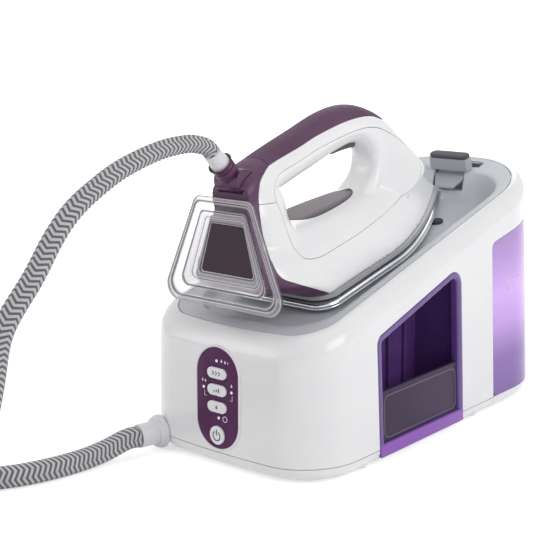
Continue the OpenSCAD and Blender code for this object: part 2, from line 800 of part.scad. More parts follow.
// Half outline of the iron: half width, rear end, front end, rear corner radius
function iron_ring(w, a0, a1, rc, z) =
  let (s = lerp(a0, a1, taper_from),
    right = concat([[0, a0]], arc(w-rc, a0+rc, rc, -90, 0, 6),
      [for (t = [0, 0.12, 0.25, 0.38, 0.51, 0.63, 0.74, 0.84, 0.92, 0.97])
        [w*(1-pow(t, 1.5)), lerp(s, a1, t)]],
      [[w*0.012, a1]]),
    n = len(right))
  concat([for (p = right) [p[0], p[1], z]], [for (i = [n-1:-1:1]) [-right[i][0], right[i][1], z]]);
function sole_ring(k, z) = iron_ring(sole_w/2-k, sole_rear+k, tip_y-1.6*k, 20, z);

shield_t = 2;
shield_top = sole_t+shield_t;
skirt_top = shield_top+5.5;
steam_tube_d = 7;
steam_in = 60;
module soleplate() {
  color(c_steel) iron_frame() moulded() difference() {
    loft([sole_ring(4, 0), sole_ring(1.2, 1.2), sole_ring(0, sole_t-3.8), sole_ring(0.4, sole_t-1.4),
      sole_ring(2, sole_t)]);
    for (s = [-1, 1]) for (i = [0:5]) translate([s*(34-4.2*i), tip_y-142+21*i, -1])
      cylinder(d = 2.6, h = 3.5, $fn = 8);
  }
}
module heat_shield() {
  color("#232326") iron_frame() moulded() difference() {
    loft([sole_ring(5, sole_t), sole_ring(5, shield_top)]);
    steam_hole();
  }
}
module iron_skirt() {
  color(c_grey) iron_frame() moulded() difference() {
    loft([sole_ring(2.4, shield_top), sole_ring(1.8, skirt_top)]);
    translate([0, 0, shield_top+2]) loft([sole_ring(8, 0), sole_ring(8, 20)]);
    steam_hole();
  }
}
module steam_hole() { translate([0, steam_in, 0]) cylinder(d = steam_tube_d+1, h = 40, $fn = 24); }

// Lower body: rings of [level, half width, rear, front, rear corner]
sole_hw = sole_w/2;
body_levels = [[skirt_top, sole_hw-2, 2, tip_y-8, 20], [skirt_top+9.5, sole_hw-3, -14, tip_y-18, 26],
  [skirt_top+21.5, sole_hw-7, -40, tip_y-28, 30], [skirt_top+33.5, sole_hw-15, -50, tip_y-38, 28],
  [skirt_top+42.5, sole_hw-26, -48, tip_y-52, 22], [skirt_top+47, sole_hw-36, -46, tip_y-62, 16],
  [skirt_top+48.5, sole_hw-44, -44, tip_y-72, 10]];
// The saddle falls towards the tip: level z tilts about its middle, more the higher it is
saddle_fall = 5;
saddle_mid = 80;
function fall(p) =
  p[2]-tan(saddle_fall)*(p[1]-saddle_mid)*min(1, max(0, (p[2]-skirt_top-21.5)/27));
function level_iron(v) = [for (p = iron_ring(v[1], v[2], v[3], v[4], v[0])) [p[0], p[1], fall(p)]];
module lower_body() { loft([for (v = body_levels) level_iron(v)]); }
// Sweep of ovals along a line in Y and Z: [y, z, half height, half width]
function sweep_ring(v, ang) =
  [for (i = [19:-1:0]) let (a = 360*i/20, c = cos(a), s = sin(a),
      ex = sign(c)*pow(abs(c), 0.8), ez = sign(s)*pow(abs(s), 0.8))
    [v[3]*ex, v[0]-v[2]*ez*sin(ang), v[1]+v[2]*ez*cos(ang)]];
module sweep(path) {
  n = len(path);
  loft([for (i = [0:n-1])
    let (p = path[max(0, i-1)], q = path[min(n-1, i+1)])
    sweep_ring(path[i], atan2(q[1]-p[1], q[0]-p[0]))]);
}
handle_path = [[-42, 112, 7, grip_hw-1], [-32, 112, 12, grip_hw+2], [-12, 113, 16, grip_hw+3],
  [8, 115, 18, grip_hw+1], [35, 117.2, 18.8, grip_hw], [68, 119.2, 18.8, grip_hw-1],
  [102, 121, 18.4, grip_hw-1], [130, 119.3, 17.2, grip_hw], [tip_y-112, 110.3, 16.6, grip_hw],
  [tip_y-98, 96, 19.5, grip_hw+1],
  [tip_y-90, 79, 25, grip_hw+3], [tip_y-84, 61, 33, grip_hw+7], [tip_y-78, 41, 40, grip_hw+12]];
post_path = [[2, 34, 32, 44], [-3, 56, 31, 36], [-6, 76, 29, 30], [-4, 94, 28, 27], [-5, 110, 23, 22],
  [-6, 122, 12, 17]];
// Fillet between the saddle and the front of the handle
web_path = [[tip_y-144, 50, 8, grip_hw+3], [tip_y-128, 54.5, 8, grip_hw+2], [tip_y-116, 60.5, 8, grip_hw+1],
  [tip_y-108, 70, 8, grip_hw], [tip_y-105, 82, 8, grip_hw-1]];
module iron_solid() {
  lower_body();
  sweep(handle_path);
  sweep(post_path);
  sweep(web_path);
}
// Hollow for the steam tube and the trigger works
hollow_levels = [[skirt_top-1, sole_hw-8, 8, tip_y-26, 16], [skirt_top+19.5, sole_hw-14, -20, tip_y-40, 24],
  [skirt_top+31.5, sole_hw-24, -32, tip_y-50, 20], [skirt_top+39.5, sole_hw-38, -30, tip_y-62, 10]];
module iron_hollow() {
  loft([for (v = hollow_levels) level_iron(v)]);
  slab([-11, 11], [-26, 2], [40, 112]);
  slab([-7, 7], [-12, 146], [handle_floor, handle_roof]);
}
handle_floor = 112.5;
handle_roof = 124;
// Side-view regions: behind the white shell, over the grip line, inside the saddle seam
module heel_2d() {
  polygon([[-90, 0], [22, 0], [22, 9], [-4, 29], [-20, 42], [-27, 54], [-27, 70], [-18, 95], [-8, 114],
    [4, 126], [8, 160], [-90, 160]]);
}
module grip_2d() {
  polygon([[4, 126], [40, 127.5], [80, 128.5], [120, 127], [150, 121], [182, 107], [205, 120], [205, 170],
    [8, 170], [8, 160]]);
}
module saddle_2d() {
  polygon([[22, 114], [12, 108], [5, 96], [-3, 70], [-3, 58], [5, 49], [22, 43], [110, 39], [212, 37],
    [222, 46], [196, 66], [174, 92], [156, 108], [130, 115], [80, 117]]);
}
module trigger_well() {
  slab([-trigger_hw-slide_gap, trigger_hw+slide_gap], [trigger_y0-3, trigger_y1+1.5], [90, handle_roof]);
}
// Rear plane that the heel stand seats on, as a half space behind it
stand_foot = [-57.5, 25.5];
stand_lean = 16.1;
module stand_frame() { translate([0, stand_foot[0], stand_foot[1]]) rotate([-stand_lean, 0, 0]) children(); }
stand_seat = 9.5;
module behind_stand() {
  stand_frame() slab([-100, 100], [-80, stand_seat+hole_gap], [-60, stand_h+1]);
}

swivel_y = -16;
swivel_z = 121;
swivel_hw = 11;
module swivel_frame() { translate([0, swivel_y, swivel_z]) children(); }
neck_lean = 31;
neck_l = 33;
swivel_swing = 15;
module swivel_room() {
  swivel_frame() {
    rod_x(-swivel_hw-slide_gap, swivel_hw+slide_gap, swivel_d+1.2);
    for (t = [-swivel_swing:7.5:swivel_swing]) rotate([neck_lean+t, 0, 0])
      cylinder(d1 = swivel_d+1, d2 = swivel_d+5, h = 40, $fn = 32);
  }
}

module iron_part() {
  difference() {
    iron_solid();
    iron_hollow();
    behind_stand();
    swivel_room();
    children();
  }
}
module iron_body() {
  color(c_white) iron_frame() moulded() iron_part() {
    along_x(-100, 100) heel_2d();
    along_x(-100, 100) grip_2d();
    along_x(-100, 100) saddle_2d();
    trigger_well();
    swivel_frame() rod_x(-60, 60, swivel_pin_d+hole_gap);
  }
}
module iron_saddle() {
  color(c_white) iron_frame() moulded() intersection() {
    iron_part() {
      trigger_well();
      indicator_seat() linear_extrude(20) stadium(indicator_w+hole_gap, indicator_l+hole_gap);
      trigger_hub() rod_x(-pin_end, pin_end, trigger_pin_d+hole_gap);
    }
    along_x(-100, 100) difference() {
      saddle_2d();
      grip_2d();
    }
  }
}
module handle_grip() {
  color(c_plum) iron_frame() moulded() intersection() {
    iron_part() {}
    along_x(-100, 100) grip_2d();
  }
}
module heel_cover() {
  color(c_plum) iron_frame() moulded() intersection() {
    iron_part() { swivel_frame() rod_x(-60, 60, swivel_pin_d+hole_gap); }
    along_x(-100, 100) heel_2d();
  }
}

// Clear stand behind the heel: a framed dish with a sunken window
stand_h = 90;
stand_hw = 64;
stand_top_hw = 34;
function stand_ring(k, y) =
  let (w0 = stand_hw-k*1.06, w1 = stand_top_hw-k*0.72, z1 = stand_h-k, r0 = 13, r1 = 7,
    f = function (x, z) [x, y, z])
  concat([for (p = arc(w0-r0, k+r0, r0, -90, 15, 5)) f(p[0], p[1])],
    [for (p = arc(w1-r1, z1-r1, r1, 15, 90, 4)) f(p[0], p[1])],
    [for (p = arc(r1-w1, z1-r1, r1, 90, 165, 4)) f(p[0], p[1])],
    [for (p = arc(r0-w0, k+r0, r0, 165, 270, 5)) f(p[0], p[1])]);
module heel_stand() {
  color("#e4e4ea", 0.5) iron_frame() stand_frame() moulded()
    loft([stand_ring(20, stand_seat-2.4), stand_ring(10, 0), stand_ring(0, 0), stand_ring(0, 3),
      stand_ring(9, 3), stand_ring(18.5, stand_seat)]);
}

indicator_l = 82;
indicator_w = 28;
indicator_t = 3.6;
module indicator_seat() {
  translate([0, saddle_mid, skirt_top+48.5-indicator_t+0.6]) rotate([-saddle_fall, 0, 0]) children();
}
module indicator_panel() {
  color(c_plum) iron_frame() indicator_seat() linear_extrude(indicator_t) stadium(indicator_w, indicator_l);
}

// Steam trigger under the grip, with its pin, spring and switch
trigger_y0 = 102;
trigger_y1 = 137;
trigger_hw = 6;
trigger_z = 112;
trigger_top = trigger_z+3;
pin_end = trigger_hw+3;
module trigger_hub() { translate([0, trigger_y0+4, trigger_z]) children(); }
module steam_trigger() {
  color(c_dark) iron_frame() difference() {
    along_x(-trigger_hw, trigger_hw) polygon([[trigger_y0, trigger_z-10.5], [trigger_y0+12, trigger_z-11.5],
      [trigger_y1-9, trigger_z-13.5], [trigger_y1-6, trigger_z-14.6], [trigger_y1-2.5, trigger_z-14.4],
      [trigger_y1-1, trigger_z-12], [trigger_y1, trigger_z-7], [trigger_y1, trigger_z-0.5],
      [trigger_y0+12, trigger_top], [trigger_y0, trigger_top]]);
    trigger_hub() rod_x(-20, 20, trigger_pin_d+2*pin_gap);
  }
}
module trigger_pin() {
  color(c_steel) iron_frame() trigger_hub() rod_x(-pin_end, pin_end, trigger_pin_d);
}
spring_y = 122;
spring_z0 = trigger_top-0.4;
module trigger_spring() {
  color(c_steel) iron_frame() translate([0, spring_y, spring_z0]) difference() {
    cylinder(d = 6, h = handle_roof-spring_z0-seat_gap);
    translate([0, 0, -1]) cylinder(d = 4.4, h = 20);
  }
}
module micro_switch() {
  color(c_dark) iron_frame() {
    slab([-5, 5], [128, 144], [trigger_top+2.2, handle_roof]);
    slab([-1.5, 1.5], [130, 132], [trigger_top+1.2, trigger_top+2.2]);
  }
}
module steam_tube() {
  color("#8a8a90") iron_frame()
    pipe([[0, -8, 108], [0, -8, 32], [0, steam_in, 32], [0, steam_in, sole_t]], steam_tube_d);
}

// Hose swivel: barrel on a pin, with the collar that holds the hose
module hose_swivel() {
  color(c_plum) iron_frame() swivel_frame() difference() {
    union() {
      rod_x(-swivel_hw, swivel_hw, swivel_d);
      rotate([neck_lean, 0, 0]) {
        cylinder(d = swivel_d-1, h = 15);
        translate([0, 0, 13]) cylinder(d = swivel_d+1, h = 4);
        translate([0, 0, 17]) cylinder(d = swivel_d-1, h = 3);
        translate([0, 0, 20]) cylinder(d = swivel_d+3, h = 4);
        translate([0, 0, 24]) cylinder(d1 = swivel_d+3, d2 = hose_iron_d+3, h = neck_l-24);
      }
    }
    rod_x(-20, 20, swivel_pin_d+2*pin_gap);
  }
}
module swivel_pin() {
  color(c_steel) iron_frame() swivel_frame() rod_x(-swivel_hw-3.5, swivel_hw+3.5, swivel_pin_d);
}

// Steam hose: from the swivel, through a put-away coil, to the gland

coil_c = [-110, -495];
coil_pitch = 20;
coil_turns = 1.5;
coil_end_angle = 180;
coil_start_angle = coil_end_angle+360*coil_turns;
function coil_at(a) =
  let (r = coil_r+coil_pitch*(coil_start_angle-a)/360)
  [coil_c[0]+r*cos(a), coil_c[1]+r*sin(a), hose_d/2];
// Catmull-Rom point between p1 and p2
function blend_pt(p0, p1, p2, p3, t) =
  0.5*((2*p1)+(p2-p0)*t+(2*p0-5*p1+4*p2-p3)*t*t+(3*p1-p0-3*p2+p3)*t*t*t);
function smooth(pts, n) =
  let (m = len(pts))
  concat([for (i = [0:m-2]) for (k = [0:n-1])
    blend_pt(pts[max(0, i-1)], pts[i], pts[i+1], pts[min(m-1, i+2)], k/n)], [pts[m-1]]);
function unit(v) = v/norm(v);
function tube_ring(p, t, r, sides) =
  let (u = unit(cross(t, [0.02, 0.03, 1])), w = cross(t, u))
  [for (i = [0:sides-1]) p+r*(cos(360*i/sides)*u-sin(360*i/sides)*w)];
module tube(pts, d0, d1, sides) {
  n = len(pts);
  loft([for (i = [0:n-1])
    tube_ring(pts[i], unit(pts[min(n-1, i+1)]-pts[max(0, i-1)]), lerp(d0, d1, i/(n-1))/2, sides)]);
}
// Point on the swivel's neck, d from its pivot
function neck_pt(d) = iron_pt(swivel_y-d*sin(neck_lean), swivel_z+d*cos(neck_lean));
hose_end_gap = 1;
iron_run = [neck_pt(neck_l+hose_end_gap), neck_pt(neck_l+8), [0, -208, 270], [0, -222, 272], [0, -251, 270],
  [0, -288, 261], [0, -316, 249], [0, -338, 236], [-1, -355, 219], [-3, -373, 194], [-8, -398, 160],
  [-10.5, -408, 122], [-13, -417.5, 87], [-15.5, -430, 48], [-17.5, -447.6, 26.2], [-19.3, -470, 13.4],
  coil_at(coil_start_angle)];
lie = hose_d/2;
base_run = [coil_at(coil_end_angle), [-228, -466, lie], [-218, -435, lie], [-198, -408, lie],
  [-170, -388, lie], [-142, -370, lie], [-118, -350, lie], [-101, -325, lie], [-92, -300, lie],
  [-87, -272, lie], [-84, -248, 11], gland_pt(cuff_end+12), gland_pt(cuff_end+hose_end_gap)];
module hose_iron_run() {
  color(c_hose) base() tube(smooth(iron_run, 3), hose_iron_d, hose_d, 10);
}
module hose_coil() {
  steps = 24*coil_turns;
  pts = [for (i = [0:steps]) coil_at(lerp(coil_start_angle, coil_end_angle, i/steps))];
  far = [for (i = [0:len(pts)-1]) for (j = [i+12:1:len(pts)-1]) norm(pts[i]-pts[j])];
  echo(coil_least_gap = min(far)-hose_d);
  color(c_hose) base() tube(pts, hose_d, hose_d, 6);
}
module hose_base_run() {
  color(c_hose) base() tube(smooth(base_run, 3), hose_d, hose_d, 10);
}

base_pan();
base_housing();
iron_tray();
tray_rest_pads();
control_panel();
turbo_button();
mode_button();
clean_button();
power_button();
indicator_lenses();
control_board();
tact_switches();
hose_compartment();
compartment_fence();
rubber_feet();
housing_screws();
tank_bay();
boiler();
boiler_saddles();
heater_element();
thermostat();
safety_valve();
steam_pipe();
solenoid_valve();
outlet_pipe();
water_pump();
pump_bracket();
suction_tube();
feed_tube();
tank_coupling();
terminal_block();
mains_gland();
hose_gland();
lock_slider();
lock_pad();
water_tank();
tank_base();
tank_valve();
tank_seal();
tank_flap();
flap_pin();
soleplate();
heat_shield();
iron_skirt();
iron_body();
iron_saddle();
handle_grip();
heel_cover();
heel_stand();
indicator_panel();
steam_trigger();
trigger_pin();
trigger_spring();
micro_switch();
steam_tube();
hose_swivel();
swivel_pin();
hose_iron_run();
hose_coil();
hose_base_run();
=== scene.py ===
import json
from math import acos, asin, atan2, copysign, cos, degrees, hypot, pi, radians, sin, tan

import bmesh
import bpy
from mathutils import Matrix, Vector
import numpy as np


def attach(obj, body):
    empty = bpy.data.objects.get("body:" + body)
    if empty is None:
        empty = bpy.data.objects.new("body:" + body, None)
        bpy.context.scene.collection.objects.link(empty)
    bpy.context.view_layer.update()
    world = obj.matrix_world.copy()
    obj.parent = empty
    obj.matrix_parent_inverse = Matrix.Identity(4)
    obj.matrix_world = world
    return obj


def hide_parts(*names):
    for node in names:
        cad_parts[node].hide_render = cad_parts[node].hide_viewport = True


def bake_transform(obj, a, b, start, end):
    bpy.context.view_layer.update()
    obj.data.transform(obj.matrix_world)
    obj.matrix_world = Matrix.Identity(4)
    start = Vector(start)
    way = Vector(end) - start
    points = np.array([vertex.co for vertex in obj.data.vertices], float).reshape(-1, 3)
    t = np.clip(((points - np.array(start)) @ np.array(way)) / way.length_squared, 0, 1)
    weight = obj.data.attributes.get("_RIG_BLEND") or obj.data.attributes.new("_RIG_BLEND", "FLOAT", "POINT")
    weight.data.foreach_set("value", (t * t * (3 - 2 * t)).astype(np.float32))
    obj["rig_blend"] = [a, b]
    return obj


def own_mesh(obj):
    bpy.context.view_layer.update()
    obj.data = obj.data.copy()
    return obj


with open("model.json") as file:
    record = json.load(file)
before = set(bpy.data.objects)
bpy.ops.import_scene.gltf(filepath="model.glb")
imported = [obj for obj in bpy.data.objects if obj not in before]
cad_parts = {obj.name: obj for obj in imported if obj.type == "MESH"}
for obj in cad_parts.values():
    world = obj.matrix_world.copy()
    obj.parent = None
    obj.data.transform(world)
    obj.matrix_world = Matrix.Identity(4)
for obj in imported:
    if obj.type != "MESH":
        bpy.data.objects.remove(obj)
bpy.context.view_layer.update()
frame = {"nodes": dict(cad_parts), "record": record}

scene = bpy.context.scene
cad = frame["nodes"]
record = frame["record"]
slot_of = {p["node"]: p["material_slot"] for p in record["subparts"]}
body_of = {n: b for b, names in record["behaviour"]["bodies"].items() for n in names}
MM = 0.001

# Shift of the part's own origin in the shared frame, in millimetres
MID_Y = 4.51515

# Sizes of the solids in millimetres, as in the part's source
SEAM_H = 14.0
SHOULDER = 16.0
TRAY_INSET = 18.0
TRAY_FRONT_Z = 115.0
TRAY_SLOPE = 16.1
IRON_SLOPE = 13.5
IRON_RISE = 8.8
SOLE_W = 116.0
SOLE_L = 258.0
SOLE_T = 7.0
SOLE_REAR = 4.0
SKIRT_H = 7.5
FRONT_ROOM = 63.3
BACK_ROOM = 48.0
BED_PAST_TIP = 14.0
BED_SIDE = 14.0
RIM_W = 12.0
CORNER_FRONT = 47.0
CORNER_BACK = 90.0
FRONT_BOW = 7.0
DRAFT = 1.8
TANK_Y = 66.0
TANK_GAP = 0.5
PAD_H = 2.7
PANEL_W, PANEL_H = 46.0, 86.0
GRIP_HW = 17.0
HOSE_D = 18.0
HOSE_IRON_D = 13.5

# Sizes that follow from them
DRAFT_T = tan(radians(DRAFT))
SLOPE_T = tan(radians(TRAY_SLOPE))
TIP_Y = SOLE_REAR + SOLE_L
SKIRT_TOP = SOLE_T + SKIRT_H
BED_HW = SOLE_W / 2 + BED_SIDE
HALF_W = BED_HW + RIM_W + TRAY_INSET
HALF_L = (FRONT_ROOM + TIP_Y * cos(radians(IRON_SLOPE)) + BED_PAST_TIP + BACK_ROOM) / 2
IRON_Y = FRONT_ROOM - HALF_L
IRON_Z = TRAY_FRONT_Z + IRON_RISE


def turn(angle, axis):
    return Matrix.Rotation(radians(angle), 4, axis)


def put(name, data):
    """A new object in the scene."""
    ob = bpy.data.objects.new(name, data)
    scene.collection.objects.link(ob)
    return ob


# Frames of the base and of the pieces on it
T_BASE = Matrix.Translation((0, MID_Y, 0))
T_IRON = Matrix.Translation((0, MID_Y + IRON_Y, IRON_Z)) @ turn(IRON_SLOPE, "X")
STAND_AT = (0, -57.5, 25.5)
STAND_LEAN = -16.1
T_STAND = T_IRON @ Matrix.Translation(STAND_AT) @ turn(STAND_LEAN, "X")
SWIVEL_AT = (0, -16, 121)
NECK_LEAN = 31.0
T_SWIVEL = T_IRON @ Matrix.Translation(SWIVEL_AT)
T_NECK = T_SWIVEL @ turn(NECK_LEAN, "X")
LOCK_PAST_BED = 8.0
LOCK_SINK = 1.5
LOCK_Y = HALF_L - BACK_ROOM + LOCK_PAST_BED
LOCK_Z = TRAY_FRONT_Z + SLOPE_T * (LOCK_Y + HALF_L) - LOCK_SINK
T_LOCK = Matrix.Translation((0, MID_Y + LOCK_Y, LOCK_Z)) @ turn(TRAY_SLOPE, "X")
PANEL_Z = 61.0
PANEL_Y = DRAFT_T * (PANEL_Z - SEAM_H) - HALF_L - FRONT_BOW
T_PANEL = Matrix.Translation((0, MID_Y + PANEL_Y, PANEL_Z)) @ turn(-DRAFT, "X")
GLAND_AT = (-72.986, -189.109, 15.5)
GLAND_TURN = -12.0
T_GLAND = T_BASE @ Matrix.Translation(GLAND_AT) @ turn(GLAND_TURN, "Z")

# Camera at the photograph's viewing angle, in metres
LENS_PX = 1260.31
IMAGE_PX = 560
SENSOR = 36.0
CAM_AT = (0.6868, -0.9035 + MID_Y * MM, 0.3857)
CAM_BACK = (0.6405, -0.7345, 0.2240)
CAM_RIGHT = (0.7561, 0.6542, -0.0169)
cam_data = bpy.data.cameras.new("photo_camera")
cam_data.sensor_width = SENSOR
cam_data.lens = LENS_PX / IMAGE_PX * SENSOR
cam_data.clip_start = 0.05
camera = put("photo_camera", cam_data)
cam_back = Vector(CAM_BACK).normalized()
cam_right = Vector(CAM_RIGHT)
cam_right = (cam_right - cam_right.dot(cam_back) * cam_back).normalized()
cam_axes = Matrix((cam_right, cam_back.cross(cam_right), cam_back)).transposed()
camera.matrix_world = Matrix.Translation(CAM_AT) @ cam_axes.to_4x4()
scene.camera = camera


# Lines and outlines

def lerp(a, b, t):
    return a + (b - a) * t


def arc(cx, cy, r, a0, a1, n):
    out = []
    for i in range(n + 1):
        a = radians(lerp(a0, a1, i / n))
        out.append((cx + r * cos(a), cy + r * sin(a)))
    return out


def catmull(pts, n):
    """Smooth rows of numbers through all given rows, n steps each."""
    m = len(pts)
    out = []
    for i in range(m - 1):
        p0, p1, p2, p3 = pts[max(0, i - 1)], pts[i], pts[i + 1], pts[min(m - 1, i + 2)]
        for k in range(n):
            t = k / n
            out.append(tuple(
                0.5 * (2 * b + (c - a) * t + (2 * a - 5 * b + 4 * c - d) * t * t
                       + (3 * b - a - 3 * c + d) * t ** 3)
                for a, b, c, d in zip(p0, p1, p2, p3)))
    out.append(tuple(pts[-1]))
    return out


def corner_cut(rings, keep, rounds=2):
    """Rounds the profile across a list of rings by cutting its corners, but not at rings in keep."""
    for _ in range(rounds):
        out = [rings[0]]
        kept = [keep[0]]
        for j in range(1, len(rings) - 1):
            if keep[j]:
                out.append(rings[j])
                kept.append(True)
                continue
            a, b, c = rings[j - 1], rings[j], rings[j + 1]
            out.append([tuple(lerp(q, p, 0.25) for p, q in zip(u, v)) for u, v in zip(a, b)])
            out.append([tuple(lerp(p, q, 0.25) for p, q in zip(u, v)) for u, v in zip(b, c)])
            kept += [False, False]
        out.append(rings[-1])
        kept.append(keep[-1])
        rings, keep = out, kept
    return rings


def hull_2d(points):
    pts = sorted(set(points))

    def half(seq):
        line = []
        for p in seq:
            while len(line) > 1 and ((line[-1][0] - line[-2][0]) * (p[1] - line[-2][1])
                                     - (line[-1][1] - line[-2][1]) * (p[0] - line[-2][0])) <= 0:
                line.pop()
            line.append(p)
        return line[:-1]
    return half(pts) + half(pts[::-1])


def offset_2d(poly, d):
    """Moves every point of a dense counter-clockwise outline outwards by d."""
    n = len(poly)
    out = []
    for i in range(n):
        a, b = poly[i - 1], poly[(i + 1) % n]
        tx, ty = b[0] - a[0], b[1] - a[1]
        size = hypot(tx, ty) or 1
        out.append((poly[i][0] + d * ty / size, poly[i][1] - d * tx / size))
    return out


def stadium(w, h, n=48):
    r = min(w, h) / 2
    q = n // 4
    return (arc(w / 2 - r, h / 2 - r, r, 0, 90, q) + arc(r - w / 2, h / 2 - r, r, 90, 180, q)
            + arc(r - w / 2, r - h / 2, r, 180, 270, q) + arc(w / 2 - r, r - h / 2, r, 270, 360, q))


def mend(mesh, near, flat=0.0):
    """Joins close points, and faces within flat degrees of each other, and turns all faces outwards."""
    bm = bmesh.new()
    bm.from_mesh(mesh)
    bmesh.ops.remove_doubles(bm, verts=bm.verts, dist=near)
    if flat:
        bmesh.ops.dissolve_limit(bm, angle_limit=radians(flat), verts=bm.verts, edges=bm.edges)
    bmesh.ops.recalc_face_normals(bm, faces=bm.faces)
    bm.to_mesh(mesh)
    bm.free()


def make(name, shape, matrix=T_BASE):
    """A mesh object from (points, faces) in millimetres in the frame that matrix gives."""
    points, faces = shape
    mesh = bpy.data.meshes.new(name)
    mesh.from_pydata([(matrix @ Vector(p)) * MM for p in points], [], faces)
    mend(mesh, 1e-6)
    return put(name, mesh)


def loft(rings, closed=False):
    n, m = len(rings[0]), len(rings)
    faces = []
    for j in range(m if closed else m - 1):
        for i in range(n):
            k = (i + 1) % n
            u = (j + 1) % m
            faces.append((j * n + i, j * n + k, u * n + k, u * n + i))
    if not closed:
        faces.append(tuple(range(n - 1, -1, -1)))
        faces.append(tuple((m - 1) * n + i for i in range(n)))
    return [p for r in rings for p in r], faces


def prism_x(poly, x0, x1):
    return loft([[(x0, y, z) for y, z in poly], [(x1, y, z) for y, z in poly]])


def prism_y(poly, y0, y1):
    return loft([[(x, y0, z) for x, z in poly], [(x, y1, z) for x, z in poly]])


def prism_z(poly, z0, z1):
    return loft([[(x, y, z0) for x, y in poly], [(x, y, z1) for x, y in poly]])


def box_2d(a0, a1, b0, b1):
    return [(a0, b0), (a1, b0), (a1, b1), (a0, b1)]


def disc(r, n):
    return arc(0, 0, r, 0, 360, n)[:-1]


def turned(rows, n=64, axis="Y"):
    """A form turned round the Y or the Z axis, from rows of (place along it, radius)."""
    rings = []
    for at, r in rows:
        rings.append([(a, at, b) if axis == "Y" else (a, b, at) for a, b in disc(r, n)])
    return loft(rings)


def bake(ob):
    """Turns the object's modifiers into its own mesh."""
    mesh = bpy.data.meshes.new_from_object(ob.evaluated_get(bpy.context.evaluated_depsgraph_get()))
    old = ob.data
    ob.modifiers.clear()
    ob.data = mesh
    bpy.data.meshes.remove(old)


def drop(ob):
    mesh = ob.data
    bpy.data.objects.remove(ob)
    bpy.data.meshes.remove(mesh)


def cut(ob, tool, how="DIFFERENCE", solver="EXACT"):
    """Cuts one object by another, or joins the two, and removes the second."""
    mod = ob.modifiers.new("cut", "BOOLEAN")
    mod.operation = how
    mod.object = tool
    mod.solver = solver
    bake(ob)
    drop(tool)


def carve(ob, shape, matrix=T_BASE, how="DIFFERENCE", solver="EXACT"):
    """The same with a shape as (points, faces) in the frame that matrix gives."""
    cut(ob, make("tool", shape, matrix), how, solver)


BEVEL_FROM = 40


def bevel(ob, width, segments=3):
    mod = ob.modifiers.new("round", "BEVEL")
    mod.width = width * MM
    mod.segments = segments
    mod.limit_method = "ANGLE"
    mod.angle_limit = radians(BEVEL_FROM)
    bake(ob)
    return ob


def fit(ob, mat, body, angle=35):
    """Gives a finished piece its material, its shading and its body."""
    ob.data.materials.clear()
    ob.data.materials.append(mat)
    ob.data.shade_smooth()
    ob.data.set_sharp_from_angle(angle=radians(angle))
    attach(ob, body)
    return ob


def stand_in(ob, mat, node, angle=35):
    """The same for a piece that shows in place of a solid."""
    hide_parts(node)
    return fit(ob, mat, body_of[node], angle)


def dress(node, mat, round_mm=0.0, angle=35, segments=3):
    """A copy of a solid with its facets joined, its edges rounded and its shading smoothed."""
    mesh = cad[node].data.copy()
    mesh.name = "dressed_" + node
    mend(mesh, 2e-5, 0.6)
    for name in [a.name for a in mesh.attributes if a.name.startswith(("custom_normal", "sharp"))]:
        mesh.attributes.remove(mesh.attributes[name])
    ob = put(mesh.name, mesh)
    if round_mm:
        bevel(ob, round_mm, segments)
    return stand_in(ob, mat, node, angle)


# Materials

def lin(r, g, b):
    """Linear colour from 0 to 255 display values."""
    out = []
    for v in (r, g, b):
        v = v / 255
        out.append(v / 12.92 if v <= 0.04045 else ((v + 0.055) / 1.055) ** 2.4)
    return tuple(out) + (1.0,)


def tune(node, **values):
    """Sets a shader node's own values, and its inputs by their names."""
    for key, value in values.items():
        if hasattr(node, key):
            setattr(node, key, value)
        else:
            node.inputs[key.replace("_", " ")].default_value = value
    return node


def add(tree, kind, **values):
    return tune(tree.nodes.new(kind), **values)


def wire(source, output, target, entry):
    source.id_data.links.new(source.outputs[output], target.inputs[entry])


def new_material(name):
    mat = bpy.data.materials.new(name)
    mat.use_nodes = True
    return mat, mat.node_tree, mat.node_tree.nodes["Principled BSDF"]


def ramp(tree, source, stops):
    node = tree.nodes.new("ShaderNodeValToRGB")
    row = node.color_ramp.elements
    while len(row) < len(stops):
        row.new(0.5)
    for e, (at, colour) in zip(row, stops):
        e.position = at
        e.color = colour
    tree.links.new(source, node.inputs["Fac"])
    return node


def material(name, tone, shade, rough=(0.3, 0.4), cloud=18.0, grain=1500.0, bump=0.02, **surface):
    """Moulded surface: two close tones in soft clouds, varied gloss, and a fine grain."""
    mat, tree, shader = new_material(name)
    tune(shader, **surface)
    at = tree.nodes.new("ShaderNodeTexCoord")
    clouds = add(tree, "ShaderNodeTexNoise", Scale=cloud, Detail=4.0, Roughness=0.55)
    wire(at, "Object", clouds, "Vector")
    tint = ramp(tree, clouds.outputs["Fac"], [(0.3, lin(*shade)), (0.7, lin(*tone))])
    wire(tint, "Color", shader, "Base Color")
    fine = add(tree, "ShaderNodeTexNoise", Scale=grain, Detail=2.0, Roughness=0.5)
    wire(at, "Object", fine, "Vector")
    gloss = add(tree, "ShaderNodeMapRange", To_Min=rough[0], To_Max=rough[1])
    wire(fine, "Fac", gloss, "Value")
    wire(gloss, "Result", shader, "Roughness")
    lift = add(tree, "ShaderNodeBump", Strength=bump, Distance=0.0005)
    wire(fine, "Fac", lift, "Height")
    wire(lift, "Normal", shader, "Normal")
    return mat


